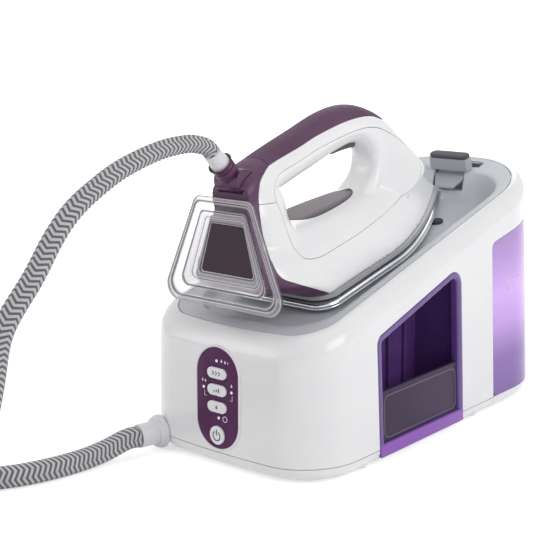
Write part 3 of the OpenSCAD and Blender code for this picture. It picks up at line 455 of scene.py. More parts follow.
white = material("white_shell", (240, 240, 241), (235, 235, 237), (0.22, 0.3), bump=0.015, Coat_Weight=0.25)
iron_white = material("iron_white", (243, 243, 244), (238, 238, 240), (0.2, 0.28), bump=0.015,
                      Coat_Weight=0.3)
cuff_white = material("cuff_white", (232, 232, 235), (222, 222, 226), (0.35, 0.45), grain=1800, bump=0.05)
button_white = material("button_white", (240, 239, 244), (232, 231, 238), (0.3, 0.4), bump=0.02)
grey_tray = material("grey_tray", (206, 209, 214), (199, 202, 208), (0.42, 0.52), grain=2600, bump=0.06)
lock_grey = material("lock_grey", (180, 183, 189), (172, 175, 182), (0.42, 0.52), grain=2600, bump=0.06)
grey_skirt = material("grey_skirt", (176, 177, 181), (168, 169, 173), (0.3, 0.4), grain=2600, bump=0.05)
plum = material("plum", (84, 40, 80), (72, 33, 69), (0.36, 0.46), grain=2200, bump=0.05)
panel_plum = material("panel_plum", (84, 38, 82), (76, 33, 74), (0.4, 0.5), grain=2200, bump=0.03,
                      Specular_IOR_Level=0.2)
dark_plum = material("dark_plum", (50, 26, 46), (43, 22, 40), (0.34, 0.44), grain=2200, bump=0.03,
                     Specular_IOR_Level=0.25)
soft_plum = material("soft_plum", (90, 58, 87), (76, 45, 73), (0.6, 0.75), grain=1300, bump=0.35)
violet = material("violet", (98, 64, 130), (84, 53, 114), (0.2, 0.3), bump=0.01)
rim_violet = material("rim_violet", (132, 96, 178), (116, 80, 164), (0.12, 0.22), bump=0.01,
                      Transmission_Weight=0.35)
sill_lilac = material("sill_lilac", (152, 102, 192), (144, 95, 184), (0.4, 0.5), bump=0.01,
                      Specular_IOR_Level=0.3)
fence_dark = material("fence", (60, 46, 72), (53, 40, 65), (0.4, 0.5), bump=0.02, Specular_IOR_Level=0.25)
bead_violet = material("fence_bead", (96, 82, 110), (88, 74, 102), (0.25, 0.35), bump=0.01)
charcoal = material("charcoal", (84, 83, 88), (72, 71, 76), (0.6, 0.75), grain=1400, bump=0.5)
rubber = material("rubber_dark", (62, 62, 66), (50, 50, 54), (0.7, 0.85), grain=900, bump=0.25)
tie_dark = material("tie", (70, 70, 74), (58, 58, 62), (0.6, 0.7), grain=1600, bump=0.4)
heat_gap = material("heat_gap", (34, 33, 36), (26, 25, 28), (0.5, 0.65), bump=0.1)
mark_dark = material("mark_dark", (84, 82, 90), (72, 70, 78), (0.5, 0.6))
mark_pale = material("mark_pale", (236, 226, 240), (224, 212, 230), (0.4, 0.5))
outline_pale = material("outline_pale", (240, 234, 241), (232, 224, 234), (0.35, 0.45))
lens = material("lens", (250, 246, 252), (236, 230, 244), (0.15, 0.25), Emission_Strength=0.15,
                Emission_Color=lin(250, 240, 255))
steel = material("steel", (206, 208, 212), (190, 193, 198), (0.22, 0.34), cloud=60, Metallic=1.0)
polished = material("sole", (222, 223, 226), (206, 208, 212), (0.12, 0.2), cloud=40, grain=700, Metallic=1.0)

# Materials of the pieces inside, which keep their own solids
material("board", (52, 112, 76), (40, 92, 62), (0.4, 0.6), cloud=120)
material("brass", (206, 170, 92), (186, 148, 74), (0.28, 0.4), cloud=60, Metallic=1.0)
material("copper_pipe", (212, 150, 104), (190, 124, 80), (0.26, 0.38), cloud=60, Metallic=1.0)
material("pump_plastic", (222, 222, 214), (210, 210, 202), (0.4, 0.5))
material("silicone", (230, 230, 234), (218, 218, 224), (0.35, 0.5), Transmission_Weight=0.3)


def clear_material_with_painted_edges():
    """Clear plastic: see-through on its flats, with painted highlights and painted grey and dark reflections
    along its moulded edges.
    """
    mat = material("clear", (236, 235, 238), (228, 227, 231), (0.06, 0.12), bump=0.002)
    tree = mat.node_tree
    shader = tree.nodes["Principled BSDF"]
    line = add(tree, "ShaderNodeAttribute", attribute_name="edge").outputs["Fac"]
    # Painted edge light: pale painted highlights and grey, lilac-grey and dark painted reflections along the
    # edges.
    tint = ramp(tree, line, [(0.0, lin(240, 239, 242)), (0.35, lin(236, 234, 238)),
                             (0.5, lin(196, 186, 200)), (0.7, lin(246, 245, 248)),
                             (0.85, lin(120, 120, 124)), (1.0, lin(78, 78, 82))])
    wire(tint, "Color", shader, "Base Color")
    through = add(tree, "ShaderNodeBsdfTransparent", Color=lin(252, 252, 253))
    cover = ((0.0, 0.02), (0.35, 0.2), (0.5, 0.6), (0.7, 0.75), (1.0, 0.9))
    share = ramp(tree, line, [(at, (much, much, much, 1)) for at, much in cover])
    mix = tree.nodes.new("ShaderNodeMixShader")
    wire(share, "Color", mix, "Fac")
    wire(through, "BSDF", mix, 1)
    wire(shader, "BSDF", mix, 2)
    wire(mix, "Shader", tree.nodes["Material Output"], "Surface")
    return mat


def tank_material_with_painted_shade():
    """Tinted clear plastic with painted shade by height: darker low down and near the top, lightest a little
    above the middle, with a faint painted glow in the same tint.
    """
    mat = material("lilac", (206, 172, 244), (190, 150, 236), (0.1, 0.2), bump=0.004,
                   Transmission_Weight=0.35, IOR=1.3)
    tree = mat.node_tree
    split = tree.nodes.new("ShaderNodeSeparateXYZ")
    wire(tree.nodes.new("ShaderNodeTexCoord"), "Object", split, "Vector")
    height = add(tree, "ShaderNodeMapRange", From_Min=0.015, From_Max=0.175)
    wire(split, "Z", height, "Value")
    # Painted shade: the tint darkens low down and near the top and is lightest a little above the middle.
    tint = ramp(tree, height.outputs["Result"], [(0.0, lin(146, 116, 182)), (0.22, lin(160, 128, 196)),
                                                 (0.42, lin(214, 178, 240)), (0.6, lin(228, 192, 250)),
                                                 (0.8, lin(198, 166, 224)), (1.0, lin(174, 147, 198))])
    shader = tree.nodes["Principled BSDF"]
    wire(tint, "Color", shader, "Base Color")
    # Painted glow: the same tint is also emitted, though the tank is no lamp.
    wire(tint, "Color", shader, "Emission Color")
    tune(shader, Emission_Strength=0.12)
    return mat


clear = clear_material_with_painted_edges()
lilac = tank_material_with_painted_shade()


def slot_material(slot):
    return bpy.data.materials["cuff_white" if slot == "hose_cover" else slot]


for node_name, node_ob in cad.items():
    node_ob.data.materials.clear()
    node_ob.data.materials.append(slot_material(slot_of[node_name]))


# Steam hose in its woven cover
ZIG_REACH = 0.8
ZIGS = 4
ZIG_PITCH = 4.3
RELIEF = 0.3
BAND_HALF = 0.2
BAND_STEEP = 8
CUFF_LIFT = 0.5


def braid_material():
    """Woven hose cover: zigzag bands of grey yarn on pale yarn, with fine threads."""
    mat, tree, shader = new_material("hose_braid")
    tune(shader, Roughness=0.85, Sheen_Weight=0.2)
    uv = add(tree, "ShaderNodeUVMap", uv_map="weave")
    split = tree.nodes.new("ShaderNodeSeparateXYZ")
    wire(uv, "UV", split, "Vector")

    def math_node(op, a, b=None):
        node = add(tree, "ShaderNodeMath", operation=op)
        for i, v in enumerate((a, b)):
            if v is None:
                continue
            if isinstance(v, float):
                node.inputs[i].default_value = v
            else:
                tree.links.new(v, node.inputs[i])
        return node.outputs["Value"]
    zig = math_node("ABSOLUTE", math_node("SUBTRACT", math_node("FRACT", split.outputs["X"]), 0.5))
    reach = math_node("MULTIPLY", zig, ZIG_REACH * 2)
    band = math_node("FRACT", math_node("ADD", split.outputs["Y"], reach))
    stripe = math_node("ABSOLUTE", math_node("SUBTRACT", band, 0.5))
    tint = ramp(tree, stripe, [(0.0, lin(112, 112, 116)), (0.2, lin(122, 122, 126)),
                               (0.28, lin(222, 222, 225)), (1.0, lin(234, 234, 237))])
    yarn = add(tree, "ShaderNodeTexWave", bands_direction="DIAGONAL", Scale=6.0, Distortion=0.6, Detail=1.0)
    wire(uv, "UV", yarn, "Vector")
    thread = ramp(tree, yarn.outputs["Fac"], [(0.0, lin(206, 206, 210)), (1.0, lin(255, 255, 255))])
    mix = add(tree, "ShaderNodeMix", data_type="RGBA", blend_type="MULTIPLY")
    mix.inputs["Factor"].default_value = 1.0
    wire(tint, "Color", mix, 6)
    wire(thread, "Color", mix, 7)
    wire(mix, 2, shader, "Base Color")
    lift = add(tree, "ShaderNodeBump", Strength=0.4, Distance=0.0004)
    wire(yarn, "Fac", lift, "Height")
    wire(lift, "Normal", shader, "Normal")
    return mat


def in_base(matrix, point):
    """A point of another frame, in the base's own millimetres."""
    return tuple(T_BASE.inverted() @ matrix @ Vector(point))


def neck_pt(d):
    return in_base(T_NECK, (0, 0, d))


def gland_pt(d):
    return in_base(T_GLAND, (0, -d, 0))


LIE = HOSE_D / 2
COIL_C = (-110.0, -495.0)
COIL_R = 90.0
COIL_PITCH = 20.0


def coil_at(a):
    r = COIL_R + COIL_PITCH * (720 - a) / 360
    return (COIL_C[0] + r * cos(radians(a)), COIL_C[1] + r * sin(radians(a)), LIE)


iron_route = [neck_pt(34), neck_pt(41), (0, -208, 270), (0, -222, 272), (0, -251, 270), (0, -288, 261),
              (0, -316, 249), (0, -338, 236), (-1, -355, 219), (-3, -373, 194), (-8, -398, 160),
              (-10.5, -408, 122), (-13, -417.5, 87), (-15.5, -430, 48), (-17.5, -447.6, 26.2),
              (-19.3, -470, 13.4), coil_at(720)]
base_route = [coil_at(180), (-228, -466, LIE), (-218, -435, LIE), (-198, -408, LIE), (-170, -388, LIE),
              (-142, -370, LIE), (-118, -350, LIE), (-101, -325, LIE), (-92, -300, LIE), (-87, -272, LIE),
              (-84, -248, 11), gland_pt(38), gland_pt(27)]
coil_route = [coil_at(720 - 7.5 * i) for i in range(73)]


def even(points, step):
    """The same line in steps of equal length, as vectors in the shared frame."""
    line = [T_BASE @ Vector(p) for p in points]
    run = [0.0]
    for a, b in zip(line, line[1:]):
        run.append(run[-1] + (b - a).length)
    count = max(2, round(run[-1] / step))
    out, j = [], 0
    for i in range(count + 1):
        s = run[-1] * i / count
        while j < len(run) - 2 and run[j + 1] < s:
            j += 1
        t = (s - run[j]) / max(1e-9, run[j + 1] - run[j])
        out.append(line[j].lerp(line[j + 1], t))
    return out, run[-1]


def hose_piece(name, line, first, last, radius, start, cuff=0.0, sides=56):
    """Woven tube along a part of the line, plain up to the length cuff, with its radius by the length."""
    step = (line[-1] - line[-2]).length
    points, uvs = [], []
    side = Vector((1, 0, 0))
    for i, p in enumerate(line):
        t = (line[min(len(line) - 1, i + 1)] - line[max(0, i - 1)]).normalized()
        side = (side - side.dot(t) * t).normalized()
        up = t.cross(side)
        if not first <= i <= last:
            continue
        r0 = radius(i * step)
        v = (start + i * step) / ZIG_PITCH
        uvs.append(v)
        for k in range(sides):
            zig = abs(ZIGS * k / sides % 1 - 0.5)
            band = abs((v + 2 * ZIG_REACH * zig) % 1 - 0.5)
            weave = RELIEF * min(1, max(-1, (band - BAND_HALF) * BAND_STEEP))
            r = r0 + (CUFF_LIFT if i * step < cuff else weave)
            a = 2 * pi * k / sides
            points.append(p + r * (cos(a) * side + sin(a) * up))
    rows = len(uvs)
    faces, corners, smooth_rows = [], [], []
    for j in range(rows - 1):
        for k in range(sides):
            n = (k + 1) % sides
            faces.append((j * sides + k, j * sides + n, (j + 1) * sides + n, (j + 1) * sides + k))
            u0, u1 = ZIGS * k / sides, ZIGS * (k + 1) / sides
            corners += [(u0, uvs[j]), (u1, uvs[j]), (u1, uvs[j + 1]), (u0, uvs[j + 1])]
            smooth_rows.append((first + j + 0.5) * step < cuff)
    mesh = bpy.data.meshes.new(name)
    mesh.from_pydata([p * MM for p in points], [], faces)
    layer = mesh.uv_layers.new(name="weave")
    for loop, c in zip(layer.data, corners):
        loop.uv = c
    mesh.materials.append(braid)
    mesh.materials.append(cuff_white)
    for poly, plain in zip(mesh.polygons, smooth_rows):
        poly.material_index = 1 if plain else 0
    mesh.shade_smooth()
    return put(name, mesh), [tuple(p * MM) for p in line[first:last + 1]]


braid = braid_material()
IRON_CUFF = 0.5
SWIVEL_PART = 0.42
iron_line, iron_len = even(catmull(iron_route, 12), 0.7)
split_at = int(len(iron_line) * SWIVEL_PART)


def iron_radius(s):
    return lerp(HOSE_IRON_D, HOSE_D, s / iron_len) / 2


near_hose, near_path = hose_piece("hose_near_iron", iron_line, 0, split_at, iron_radius, 0, IRON_CUFF)
down_hose, down_path = hose_piece("hose_down_run", iron_line, split_at, len(iron_line) - 1, iron_radius, 0)
floor_line, _ = even(coil_route + catmull(base_route, 12)[1:], 0.9)
floor_hose, floor_path = hose_piece("hose_floor_run", floor_line, 0, len(floor_line) - 1,
                                    lambda s: HOSE_D / 2, iron_len, sides=42)

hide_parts("hose_iron_run")
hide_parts("hose_iron_run")
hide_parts("hose_coil", "hose_base_run")
near_end = near_path[-1]
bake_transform(near_hose, "hose_swivel", "iron", start=near_path[28], end=near_end)
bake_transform(down_hose, "iron", "base", start=down_path[0], end=down_path[-1])
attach(floor_hose, "base")

# Tie on the coil
TIE_AT = 450.0


def coil_tie():
    outer, inner = Vector(coil_at(TIE_AT - 360)), Vector(coil_at(TIE_AT))
    across = (outer - inner).normalized()
    along = across.cross(Vector((0, 0, 1)))
    reach = (outer - inner).length / 2
    mid = (outer + inner) / 2
    loop = stadium(2 * reach + HOSE_D + 2.2, HOSE_D + 2.2, 64)
    rings = []
    for w, grow in ((-5, 0.0), (-5.4, 0.5), (-5, 1.0), (5, 1.0), (5.4, 0.5), (5, 0.0)):
        ring = offset_2d(loop, grow - 0.9)
        rings.append([tuple(mid + across * x + Vector((0, 0, 1)) * max(z, -LIE + 0.05) + along * w)
                      for x, z in ring])
    return fit(make("hose_tie", loft(rings, closed=True)), tie_dark, "base")


tie = coil_tie()
gland = dress("hose_gland", cuff_white, 0.8)

# Base shell


def plan(w, yf, yb, rf, rb, bow, nf=36, na=20, nb=30):
    raw = [((w - rf) * (2 * i / nf - 1), yf) for i in range(nf)]
    raw += arc(w - rf, yf + rf, rf, -90, 0, na)
    raw += arc(w - rb, yb - rb, rb, 0, 90, nb)
    raw += arc(rb - w, yb - rb, rb, 90, 180, nb)
    raw += arc(rf - w, yf + rf, rf, 180, 270, na)[:-1]
    return [(x, y - bow * max(0, 1 - (x / w) ** 2) * min(1, max(0, (yf + rf - y) / rf))) for x, y in raw]


def base_plan(k):
    return plan(HALF_W - k, k - HALF_L, HALF_L - k, CORNER_FRONT - k, CORNER_BACK - k, FRONT_BOW)


K_REF = 40
plan_0 = base_plan(0)
plan_k = base_plan(K_REF)


def inset(i, k):
    a, b = plan_0[i], plan_k[i]
    return (lerp(a[0], b[0], k / K_REF), lerp(a[1], b[1], k / K_REF))


def tray_z(y):
    return TRAY_FRONT_Z + SLOPE_T * (y + HALF_L)


ALL = range(len(plan_0))


def level_ring(k, z):
    return [inset(i, k) + (z,) for i in ALL]


def slope_ring(k, dz):
    return [(x, y, tray_z(y) + dz) for x, y in (inset(i, k) for i in ALL)]


def wall_ring(k, dz):
    out = []
    for i in ALL:
        z = tray_z(inset(i, 5)[1]) + dz
        out.append(inset(i, k + DRAFT_T * (z - SEAM_H)) + (z,))
    return out


def shoulder_ring(t):
    out = []
    for i in ALL:
        z0 = tray_z(inset(i, 5)[1]) - SHOULDER
        k0 = DRAFT_T * (z0 - SEAM_H)
        x, y = inset(i, k0 + (TRAY_INSET - k0) * (1 - cos(radians(t))))
        out.append((x, y, lerp(z0, tray_z(y), sin(radians(t)))))
    return out


def wall_solid(k, top=300):
    return loft([level_ring(k, 0), level_ring(k, SEAM_H), level_ring(k + DRAFT_T * (top - SEAM_H), top)])


def rounded(spots, n):
    """Outline drawn tight round discs, from rows of (x, y, radius)."""
    pts = []
    for x, y, r in spots:
        pts += arc(x, y, r, 0, 360, n)[:-1]
    return hull_2d([(round(a, 5), round(b, 5)) for a, b in pts])


WIN_FRONT, WIN_BACK, WIN_BOTTOM, WIN_TOP = -111.0, 14.0, 6.5, 111.0
WIN_BACK_TOP = WIN_TOP + SLOPE_T * (WIN_BACK - WIN_FRONT)
LOW_R, BACK_R, FRONT_R = 4, 13, 9
BACK_SPOT = (WIN_BACK - BACK_R, WIN_BACK_TOP - 16)
FRONT_SPOT = (WIN_FRONT + FRONT_R, WIN_TOP - 8)


def window_2d(d):
    low = WIN_BOTTOM + LOW_R
    return rounded([(WIN_FRONT + LOW_R, low, LOW_R + d), (WIN_BACK - LOW_R, low, LOW_R + d),
                    (*BACK_SPOT, BACK_R + d), (*FRONT_SPOT, FRONT_R + d)], 64)


def panel_2d(d):
    return stadium(PANEL_W + 2 * d, PANEL_H + 2 * d, 96)


BED_FRONT = 30 - HALF_L
BED_BACK = HALF_L - BACK_ROOM


def bed_z(y):
    slope = radians(IRON_SLOPE)
    return IRON_Z - PAD_H / cos(slope) + tan(slope) * (y - IRON_Y)


TANK_UNDER_BED = 8.3
TANK_TOP = bed_z(TANK_Y) - TANK_UNDER_BED
TANK_Z0 = SEAM_H + 0.6
TANK_R = 7.0
TANK_SLOPE_T = 0.2
TANK_WALL = 2.4


def tank_2d(d):
    g = TANK_R - d
    front, back = TANK_Y + g, HALF_L + 30 - g
    top = TANK_TOP - g * hypot(1, TANK_SLOPE_T)
    spots = [(front, TANK_Z0 + g), (back, TANK_Z0 + g), (back, top + TANK_SLOPE_T * (back - TANK_Y)),
             (front, top + TANK_SLOPE_T * g)]
    return rounded([(y, z, TANK_R) for y, z in spots], 48)


SEAM_SLIT = 0.7
PANEL_ROOM = 0.3
CORD_Z = 32.0
rings = [level_ring(0, SEAM_H + SEAM_SLIT), wall_ring(0, -SHOULDER)]
rings += [shoulder_ring(t) for t in range(6, 91, 6)]
rings += [slope_ring(TRAY_INSET, -2.55), slope_ring(TRAY_INSET + 5, -2.55), slope_ring(TRAY_INSET + 5, -4.9),
          wall_ring(3, -SHOULDER - 3), level_ring(3, SEAM_H + SEAM_SLIT)]
housing = make("shell_housing", loft(rings, closed=True))
carve(housing, prism_x(window_2d(0.15), HALF_W - 25, HALF_W + 20))
carve(housing, prism_x(tank_2d(TANK_GAP), -200, 200))
carve(housing, prism_x(box_2d(TANK_Y - TANK_GAP, 370, -10, TANK_TOP - 30), -200, 200))
carve(housing, prism_y(panel_2d(PANEL_ROOM), -20, 12), T_PANEL)
carve(housing, turned([(-40, 10.6), (21, 10.6)]), T_GLAND)
carve(housing, prism_x(arc(0, CORD_Z, 6.05, 0, 360, 32)[:-1], -200, 15 - HALF_W))
stand_in(housing, white, "base_housing", angle=30)

dress("base_pan", white, angle=52)
dress("tank_base", white, angle=52)

# Tray with the sunken bed


def bed_ring(k):
    return plan(BED_HW - k, BED_FRONT + k, BED_BACK - k, 40 - k, 46 - k, 0)


def bed_seam(k, dz):
    return [(x, y, tray_z(y) + dz) for x, y in bed_ring(k)]


def bed_floor(k, dz):
    return [(x, y, bed_z(y) + dz) for x, y in bed_ring(k)]


TRAY_SLIT = 1.2
profile = [bed_floor(4.5, -2.5), bed_seam(-2.5, -6.5), bed_seam(-4.5, -4), slope_ring(TRAY_INSET + 6, -2.5),
           slope_ring(TRAY_INSET + TRAY_SLIT, -2.5), slope_ring(TRAY_INSET + TRAY_SLIT, 0),
           slope_ring(TRAY_INSET + 3, -0.2), bed_seam(-2, -1.5), bed_seam(0, -4), bed_floor(6, 0),
           bed_floor(24, 0)]
keep = [True] * 6 + [False] * 4 + [True]
tray = make("grey_bed", loft(corner_cut(profile, keep)))
carve(tray, prism_x(box_2d(-26, 11.9, -17, 8), -17.6, 17.6), T_LOCK)
carve(tray, prism_x(box_2d(-26, 15.5, 0, 20), -22.6, 22.6), T_LOCK)
carve(tray, prism_x(box_2d(3, 13.5, -9, 20), -27, 27), T_LOCK)
stand_in(tray, grey_tray, "iron_tray", angle=38)

# Lock, panel and compartment

dress("lock_slider", lock_grey, 0.9)
dress("lock_pad", charcoal, 1.5, segments=4)
dress("tray_rest_pads", rubber, 0.6)
dress("hose_compartment", violet, 0.3)
dress("compartment_fence", fence_dark, 0.6)


def wall_x(z):
    return HALF_W - DRAFT_T * (z - SEAM_H)


def ring_loft(name, rows, ring):
    """A closed band from rows of (growth, lift), where ring gives the points of one row."""
    return make(name, loft([ring(d, out) for d, out in rows], closed=True))


def window_ring(d, out):
    low_r = max(LOW_R + d, 1.0)
    low_z = WIN_BOTTOM + min(-d, 1.0) + low_r
    dy, dz = FRONT_SPOT[0] - BACK_SPOT[0], FRONT_SPOT[1] - BACK_SPOT[1]
    lean = degrees(atan2(dz, dy)) % 360
    lean -= degrees(acos((BACK_R - FRONT_R) / hypot(dy, dz)))
    pts = arc(WIN_FRONT - d + low_r, low_z, low_r, 180, 270, 12)
    pts += arc(WIN_BACK + d - low_r, low_z, low_r, 270, 360, 12)
    pts += arc(*BACK_SPOT, BACK_R + d, 0, lean, 20)
    pts += arc(*FRONT_SPOT, FRONT_R + d, lean, 180, 16)
    return [(wall_x(z) + out, y, z) for y, z in pts]


RIM_ROWS = [(0.1, -7), (0.1, -0.3), (-0.6, 0.3), (-1.4, 0.5), (-4.6, 0.4), (-5.8, -0.2), (-6.4, -1.6),
            (-6.4, -7)]
fit(ring_loft("compartment_rim", RIM_ROWS, window_ring), rim_violet, "base", angle=50)
SILL_LOW, SILL_TOP = WIN_BOTTOM + 0.8, WIN_BOTTOM + 11
SILL_OUT = 1.1
sill_2d = [(wall_x(SILL_LOW) - 7, SILL_LOW), (wall_x(SILL_LOW) + SILL_OUT, SILL_LOW),
           (wall_x(SILL_LOW) + SILL_OUT, SILL_LOW + 1), (wall_x(SILL_TOP) + 0.7, SILL_TOP),
           (wall_x(SILL_TOP) - 7, SILL_TOP)]
sill = make("compartment_sill", prism_y(sill_2d, WIN_FRONT + 1, WIN_BACK - 1))
fit(bevel(sill, 0.5), sill_lilac, "base")
FENCE_FACE = -2.0
BEAD_R = 7.0
BEAD_ROWS = [(0, -0.6), (0, 0.25), (-0.3, 0.5), (-0.9, 0.5), (-1.2, 0.25), (-1.2, -0.6)]
FENCE_TOP = max(v.co.z for v in cad["compartment_fence"].data.vertices) / MM


def bead_ring(d, out):
    y0, y1, z0, z1 = WIN_FRONT + 9 - d, WIN_BACK - 9 + d, SILL_TOP + 3 - d, FENCE_TOP - 4 + d
    r = BEAD_R + d
    pts = arc(y0 + r, z0 + r, r, 180, 270, 10) + arc(y1 - r, z0 + r, r, 270, 360, 10)
    pts += arc(y1 - r, z1 - r, r, 0, 90, 10) + arc(y0 + r, z1 - r, r, 90, 180, 10)
    return [(wall_x(z) + FENCE_FACE + out, y, z) for y, z in pts]


fit(ring_loft("fence_bead", BEAD_ROWS, bead_ring), bead_violet, "base", angle=50)

# Panel with its buttons, lights and signs
PANEL_FACE = -0.95
BUTTON_FACE = -2.35
BUTTON_GAP = 0.35
MARK_FACE = PANEL_FACE - 0.12
OUTLINE_GAP = 0.2
OUTLINE_ROWS = [(-0.1, 3), (-0.1, -0.9), (0.1, -1.1), (1.1, -1.1), (1.3, -0.7), (1.3, 3)]


def panel_ring(d, y):
    return [(x, y, z) for x, z in panel_2d(OUTLINE_GAP + d)]


outline = make("panel_outline", loft([panel_ring(d, y) for d, y in OUTLINE_ROWS], closed=True), T_PANEL)
fit(outline, outline_pale, "base", angle=50)


def strip(line, half):
    """Outline of a line of even width through the given points."""
    left, right = [], []
    for i, p in enumerate(line):
        a, b = line[max(0, i - 1)], line[min(len(line) - 1, i + 1)]
        size = hypot(b[0] - a[0], b[1] - a[1])
        nx, nz = -(b[1] - a[1]) / size, (b[0] - a[0]) / size
        left.append((p[0] + nx * half, p[1] + nz * half))
        right.append((p[0] - nx * half, p[1] - nz * half))
    return left + right[::-1]


def mark(poly, face, at=(0, 0), deep=0.3):
    return make("mark", prism_y([(x + at[0], z + at[1]) for x, z in poly], face, face + deep), T_PANEL)


def joined(name, parts):
    first = parts[0]
    bm = bmesh.new()
    for ob in parts:
        bm.from_mesh(ob.data)
    bm.to_mesh(first.data)
    bm.free()
    for ob in parts[1:]:
        drop(ob)
    first.name = name
    first.data.name = name
    return first


def droplet(size):
    return arc(0, -0.35 * size, 0.62 * size, -215, 35, 18) + [(0, 1.1 * size)]


# Each button's height on the panel, the size of its solid, and the scale of what shows
PILL = ((25.0, 11.4), (0.83, 0.81))
ROUND = ((20.0, 20.0), (0.79, 0.79))
BUTTONS = {"turbo": (21.3, *PILL), "mode": (7.0, *PILL), "clean": (-7.4, *PILL), "power": (-31.6, *ROUND)}
panel = make("plum_panel", prism_y(panel_2d(0), PANEL_FACE, 1.2), T_PANEL)
for name, (z, size, scale) in BUTTONS.items():
    hole = stadium(size[0] * scale[0] + 2 * BUTTON_GAP, size[1] * scale[1] + 2 * BUTTON_GAP, 64)
    cut(panel, mark(hole, -5, (0, z), 12))
    ob = dress(name + "_button", button_white, 1.0, segments=4)
    about = T_PANEL @ Matrix.Translation((0, 0, z))
    about.translation *= MM
    ob.data.transform(about @ Matrix.Diagonal((scale[0], 1, scale[1], 1)) @ about.inverted())
stand_in(bevel(panel, 0.3), panel_plum, "control_panel")
LIGHTS = [(-0.6, 31.6), (-15.3, 7.2), (15.9, 7.7), (1.5, -16.5)]
lights = [mark(disc(1.25, 28), PANEL_FACE - 0.2, at, 1.2) for at in LIGHTS]
stand_in(joined("panel_lights", lights), lens, "indicator_lenses")


def button_mark(name, shapes):
    parts = [mark(poly, BUTTON_FACE, (0, BUTTONS[name][0])) for poly in shapes]
    fit(joined(name + "_mark", parts), mark_dark, name + "_button")


button_mark("power", [strip(arc(0, -0.4, 3.9, 122, 418, 40), 0.5), box_2d(-0.5, 0.5, 0.2, 5.0)])
button_mark("turbo", [strip([(x - 1, 1.5), (x + 0.8, 0), (x - 1, -1.5)], 0.42) for x in (-3.4, 0, 3.4)])
button_mark("mode", [box_2d(x - 0.55, x + 0.55, -1.6, top)
                     for x, top in ((-2.6, -0.4), (0, 0.7), (2.6, 1.8))])
button_mark("clean", [droplet(1.7)])
DROPS = [(4.9, 32.3, 1.5), (8.9, 31.9, 1.5), (12, 31.7, 0.9), (-16.5, 13.3, 1.4), (-13.3, 13.1, 1.4),
         (15.9, 13.3, 1.5)]
CORNER_LINES = [[(-14.4, 4.7), (-14.4, 0.3), (-11.8, 0.3)], [(16.6, 4.9), (16.6, 0.6), (14.4, 0.6)]]
pale = [mark(droplet(size), MARK_FACE, (x, z)) for x, z, size in DROPS]
pale += [mark(strip(line, 0.24), MARK_FACE) for line in CORNER_LINES]
pale.append(mark(strip(arc(0, 0, 2.3, 0, 360, 40), 0.32), MARK_FACE, (8.5, -16.5)))
fit(joined("panel_marks", pale), mark_pale, "base")
dress("mains_gland", rubber, 0.6)

# Water tank: clear lilac walls on the base's own curve

tank = make("lilac_tank", wall_solid(0))
carve(tank, prism_x(tank_2d(0), -200, 200), how="INTERSECT")
inside = make("tool", wall_solid(TANK_WALL))
carve(inside, prism_x(tank_2d(-TANK_WALL), -200, 200), how="INTERSECT")
cut(tank, inside)
FLAP_HW, FLAP_LOW, FLAP_TOP = 22.4, 138.6, 168.4
carve(tank, prism_x(box_2d(HALF_L - 30, HALF_L + 20, FLAP_LOW, FLAP_TOP), -FLAP_HW, FLAP_HW))
stand_in(tank, lilac, "water_tank", angle=30)


def tank_spot(y, z, out):
    """Point on the tank's right wall, out from its surface."""
    k = DRAFT_T * (z - SEAM_H)
    w, rb = HALF_W - k, CORNER_BACK - k
    mid = HALF_L - k - rb
    if y <= mid:
        return (w + out, y, z)
    lean = asin(min(1, (y - mid) / rb))
    return (w - rb + (rb + out) * cos(lean), mid + (rb + out) * sin(lean), z)


def tank_mark(rows, half):
    """A line of even width on the tank's right wall."""
    band = strip(rows, half)
    count = len(rows)
    points = [tank_spot(y, z, out) for out in (-0.1, 0.18) for y, z in band]
    faces = []
    for i in range(count - 1):
        j = 2 * count - 1 - i
        faces.append((i, i + 1, j - 1, j))
        faces.append(tuple(v + 2 * count for v in (j, j - 1, i + 1, i)))
    return make("mark", (points, faces))


LEVEL_Z = 120.0
level_line = tank_mark([(lerp(89, 124, t / 24), LEVEL_Z) for t in range(25)], 0.45)
digit_2d = [(91, -4.6), (92.4, -3.2), (94.6, -3.3), (95.4, -4.9), (94.2, -6.7), (91, -10), (95.8, -10)]
digit = tank_mark(catmull([(y, LEVEL_Z + z) for y, z in digit_2d], 10), 0.5)
fit(joined("tank_marks", [level_line, digit]), mark_pale, "water_tank")
dress("tank_flap", lilac, 0.3)

# Iron


def iron_ring(w, a0, a1, rc, z, tip_round=26):
    s = lerp(a0, a1, 0.42)
    right = [((w - rc) * i / 8, a0) for i in range(8)] + arc(w - rc, a0 + rc, rc, -90, 0, 12)
    right = right[:-1]
    for i in range(tip_round + 1):
        t = 1 - (1 - i / tip_round) ** 1.6
        right.append((max(w * 0.012, w * (1 - t ** 1.5)), lerp(s, a1, t)))
    left = [(-x, y) for x, y in right[:0:-1]]
    return [(x, y, z) for x, y in right + left]


def sole_ring(k, z):
    return iron_ring(SOLE_W / 2 - k, SOLE_REAR + k, TIP_Y - 1.6 * k, 20, z)


# Rows of the body: height over the skirt, inset, rear, shortfall at the tip, corner radius
body_rows = [(0, 2, 2, 8, 20), (9.5, 3, -14, 18, 26), (21.5, 7, -40, 28, 30), (33.5, 15, -50, 38, 28),
             (42.5, 26, -48, 52, 22), (47, 36, -46, 62, 16), (48.5, 44, -44, 72, 10)]
FALL_FROM, FALL_RUN, FALL_ANGLE, FALL_AT = 21.5, 27, 5, 80


def fall(p):
    """Lets the upper part of the body slope down towards the tip."""
    part = min(1, max(0, (p[2] - SKIRT_TOP - FALL_FROM) / FALL_RUN))
    return (p[0], p[1], p[2] - tan(radians(FALL_ANGLE)) * (p[1] - FALL_AT) * part)


def body_ring(rise, k, rear, short, rc):
    return [fall(p) for p in iron_ring(SOLE_W / 2 - k, rear, TIP_Y - short, rc, SKIRT_TOP + rise)]


